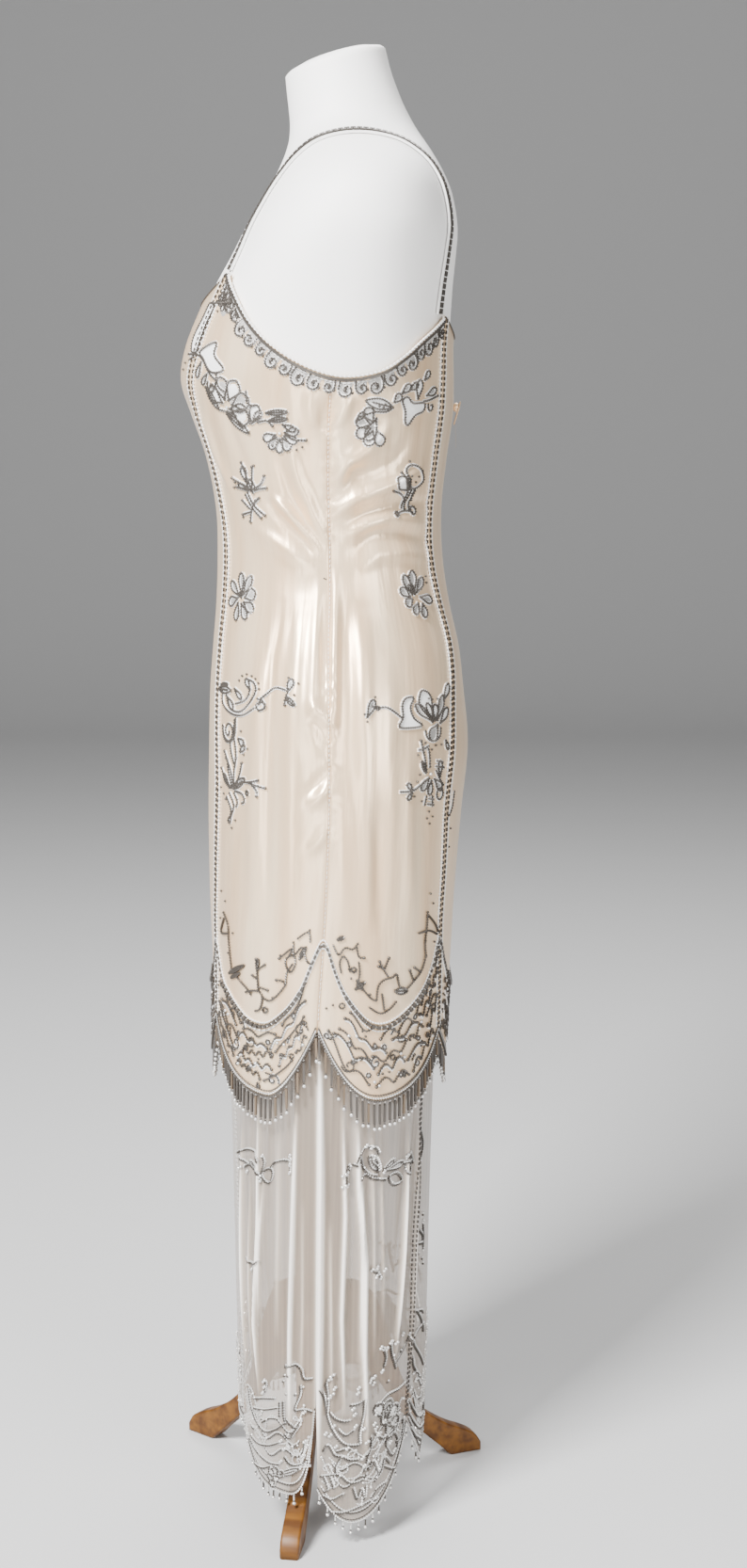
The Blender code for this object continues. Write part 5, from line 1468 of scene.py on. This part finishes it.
def cord_net():
    """Curved cords in rows above the net's hem, each a light bead line with a dark bead line below it as its
    painted shadow, and twigs between them.
    """
    for start, end, *_ in NET_BANDS:
        middle = 0.5 * (start + end)
        for row in (0, 2, 3, 4):
            rise = 0.012 + 0.015 * row
            share = 0.94 - 0.07 * row
            angle = np.linspace(middle + (start - middle) * share, middle + (end - middle) * share, 60)
            sag = 0.006 * np.cos((angle - middle) / (end - start) * math.pi * 6 + row)
            line = place_line(angle, net_hem(angle) + rise + sag * (row > 0))
            string_beads("net_cords", net, line, 0.0030, 0.0011, "light")
            # A dark bead line 2.4 mm below the light cord, as its painted shadow.
            string_beads("net_cords", net, line - (0.0, 0.0024), 0.0030, 0.0009)
    for *_, start, end, twigs, seed in NET_BANDS:
        branchwork("net_twigs", net, start, end, lambda angle: net_hem(angle) + 0.085,
                   lambda angle: net_hem(angle) + 0.004, twigs, seed, "light", 0.0011)


STRAP_X = 0.0850
STRAP_ROW = 0.0014
CORD_X = 0.0908
STRAP_FRONT = 1.2072
STRAP_BACK = 1.1690


def strap_line(x):
    """A line over the shoulder in one plane, as places on the form."""
    heights = np.linspace(1.25, NECK_TOP, 1500)
    top = float(np.interp(-x, -BODY_CURVES[1](heights), heights))
    places = []
    for bottom, side in ((STRAP_FRONT, -1), (STRAP_BACK, 1)):
        height = bottom + (top - 1e-5 - bottom) * np.sin(np.linspace(0, math.pi / 2, 90))
        centre, half_width, front, back, squareness = (read(height) for read in BODY_CURVES[:5])
        depth = back - centre if side > 0 else centre - front
        reach = side * depth * np.maximum(1 - (x / half_width) ** squareness, 0) ** (1 / squareness)
        places.append(place_line(np.degrees(np.arctan2(reach, x)), height))
    return np.concatenate([places[0], places[1][::-1][1:]])


def trim_straps():
    """Bugles end to end along each strap, and the plain cord beside it."""
    for shift in (-STRAP_ROW, STRAP_ROW):
        string_beads("strap", body_point, strap_line(STRAP_X + shift), pitch=0.0056, radius=0.0017,
                     shape="bugle", fill=0.9, lift=0.001)
    string_beads("strap_cord", body_point, strap_line(CORD_X), pitch=0.0040, radius=0.0013, tone="white",
                 shape="bugle", fill=1.1, lift=0.0009)


BUTTON_SIDES = 20
BUTTON_FLATNESS = 0.75
BUTTON_OUT = 0.0030
LOOP_RADIUS = 0.0007
LOOP = [(-0.0010, 0.0008, -0.016), (-0.0050, 0.0030, -0.008), (-0.0062, 0.0055, 0.001), (0.0, 0.0070, 0.0070),
        (0.0062, 0.0055, 0.001), (0.0050, 0.0030, -0.008), (0.0010, 0.0008, -0.016)]
RIBBON_WIDTH = 0.005
RIBBON_LENGTH = 0.024


def add_fastening():
    """The round satin button at the back, its cord loop, and a ribbon tail."""
    seat = satin(np.array(90.0), np.array(BUTTON_HEIGHT))
    turns = np.radians(np.linspace(0, 360, BUTTON_SIDES, endpoint=False))
    rings = []
    for turn in np.radians(np.linspace(-88, 88, 11)):
        radius = BUTTON_RADIUS * math.cos(turn)
        out = BUTTON_OUT + BUTTON_FLATNESS * BUTTON_RADIUS * math.sin(turn)
        rings.append(seat + np.stack([radius * np.cos(turns), out + 0 * turns, radius * np.sin(turns)], -1))
    faces = grid_faces(BUTTON_SIDES, len(rings) - 1, closed=True)[:, ::-1]
    button = make_mesh("covered_button", np.concatenate(rings), faces, SATIN)
    add_piece("covered_button", button, "satin", "back_button")

    loop = bpy.data.curves.new("button_loop", "CURVE")
    loop.dimensions = "3D"
    loop.bevel_depth = LOOP_RADIUS
    loop.bevel_resolution = 2
    add_spline(loop, "NURBS", seat + np.array(LOOP)).use_endpoint_u = True
    loop.materials.append(TAN_CORD)
    add_piece("button_loop", loop, "satin")

    across = np.linspace(-0.5 * RIBBON_WIDTH, 0.5 * RIBBON_WIDTH, 5)[None, :]
    down = np.linspace(0, RIBBON_LENGTH, 13)[:, None]
    out = 0.0016 + 0.10 * down - 2.4 * down ** 2
    tail = np.stack(np.broadcast_arrays(across + 0.02 * down, out, -0.014 - down), -1)
    add_piece("ribbon_tail", make_mesh("ribbon_tail", seat + tail, grid_faces(4, 12), SATIN), "satin")


def sew_net_seams():
    """A pair of bugle rows down the net's front and back seams."""
    front, side, back = NET_SEAM_CURVES
    for curve, tone in ((front, "light"), (back, "dark")):
        height = np.linspace(float(net_hem(curve(0.1))) + 0.006, 0.50, 60)
        for shift in (-0.7, 0.7):
            line = place_line(curve(height) + shift, height)
            string_beads("net_seam", net, line, pitch=0.0048, radius=0.0009, tone=tone, shape="bugle",
                         fill=0.62)


trim_straps()
add_fastening()
sew_seams()
sew_edges()
border_armhole()
lay_motifs("bust", satin, BUST_MOTIFS)
lay_motifs("bodice", satin, MIDDLE_MOTIFS)
lay_motifs("swag_twigs", satin, SWAG_MOTIFS, corded=False)
lay_motifs("net_motifs", net, NET_MOTIFS, "light", 0.0013)
# Gunmetal copies of the net motifs, moved 1.8 mm aside and down, as a painted shadow of their light beads.
lay_motifs("net_motifs", net, NET_MOTIFS, "shade", 0.0014, -0.0018)
fill_hem()
for fringe in FRINGES:
    hang_fringe(*fringe)
cord_net()
sew_net_seams()
add_beadwork()

FLOOR_FRONT = 8.0
FLOOR_BEND = -5.2
BEND_RADIUS = 2.4
WALL_TOP = 9.0
FLOOR_SIDE = 12.0
LIGHTS = [
    # name, place, size, watts
    ("key", (1.9, -1.3, 2.8), 0.9, 395),
    ("fill", (2.4, 1.9, 1.3), 1.6, 68),
    ("low", (2.6, -0.6, 0.6), 1.2, 26),
    ("far", (-1.6, 0.3, 3.0), 1.6, 90),
]
LIT_SPOT = (0, 0, 0.85)


def add_stage():
    """A pale floor that sweeps up far behind the dress, and soft lights."""
    bend = np.radians(np.linspace(0, 90, 25))
    arc = zip(FLOOR_BEND - BEND_RADIUS * np.sin(bend), BEND_RADIUS - BEND_RADIUS * np.cos(bend))
    sweep = [(FLOOR_FRONT, 0.0), *arc, (FLOOR_BEND - BEND_RADIUS, WALL_TOP)]
    points = [(x, y, z) for x, z in sweep for y in (-FLOOR_SIDE, FLOOR_SIDE)]
    faces = [(2 * i, 2 * i + 1, 2 * i + 3, 2 * i + 2) for i in range(len(sweep) - 1)]
    paint = make_material("pale_floor", (0.52, 0.52, 0.52), 0.85)
    pieces = [add_object("floor", make_mesh("floor", points, faces, paint))]
    for name, place, size, watts in LIGHTS:
        lamp = bpy.data.lights.new(name, "AREA")
        lamp.size = size
        lamp.energy = watts
        aim = (Vector(LIT_SPOT) - Vector(place)).to_track_quat("-Z", "Y").to_euler()
        pieces.append(add_object(name, lamp, place, aim))
    world = bpy.data.worlds.new("studio")
    world.use_nodes = True
    background = world.node_tree.nodes["Background"]
    background.inputs["Color"].default_value = (0.78, 0.78, 0.78, 1.0)
    background.inputs["Strength"].default_value = 0.27
    bpy.context.scene.world = world


add_stage()

camera_data = bpy.data.cameras.new("camera")
camera_data.sensor_width = 36.0
camera_data.lens = 52.42
camera = add_object("camera", camera_data, (2.2, 0.043, 1.096), (math.radians(80.35), 0, math.radians(90)))
bpy.context.scene.camera = camera
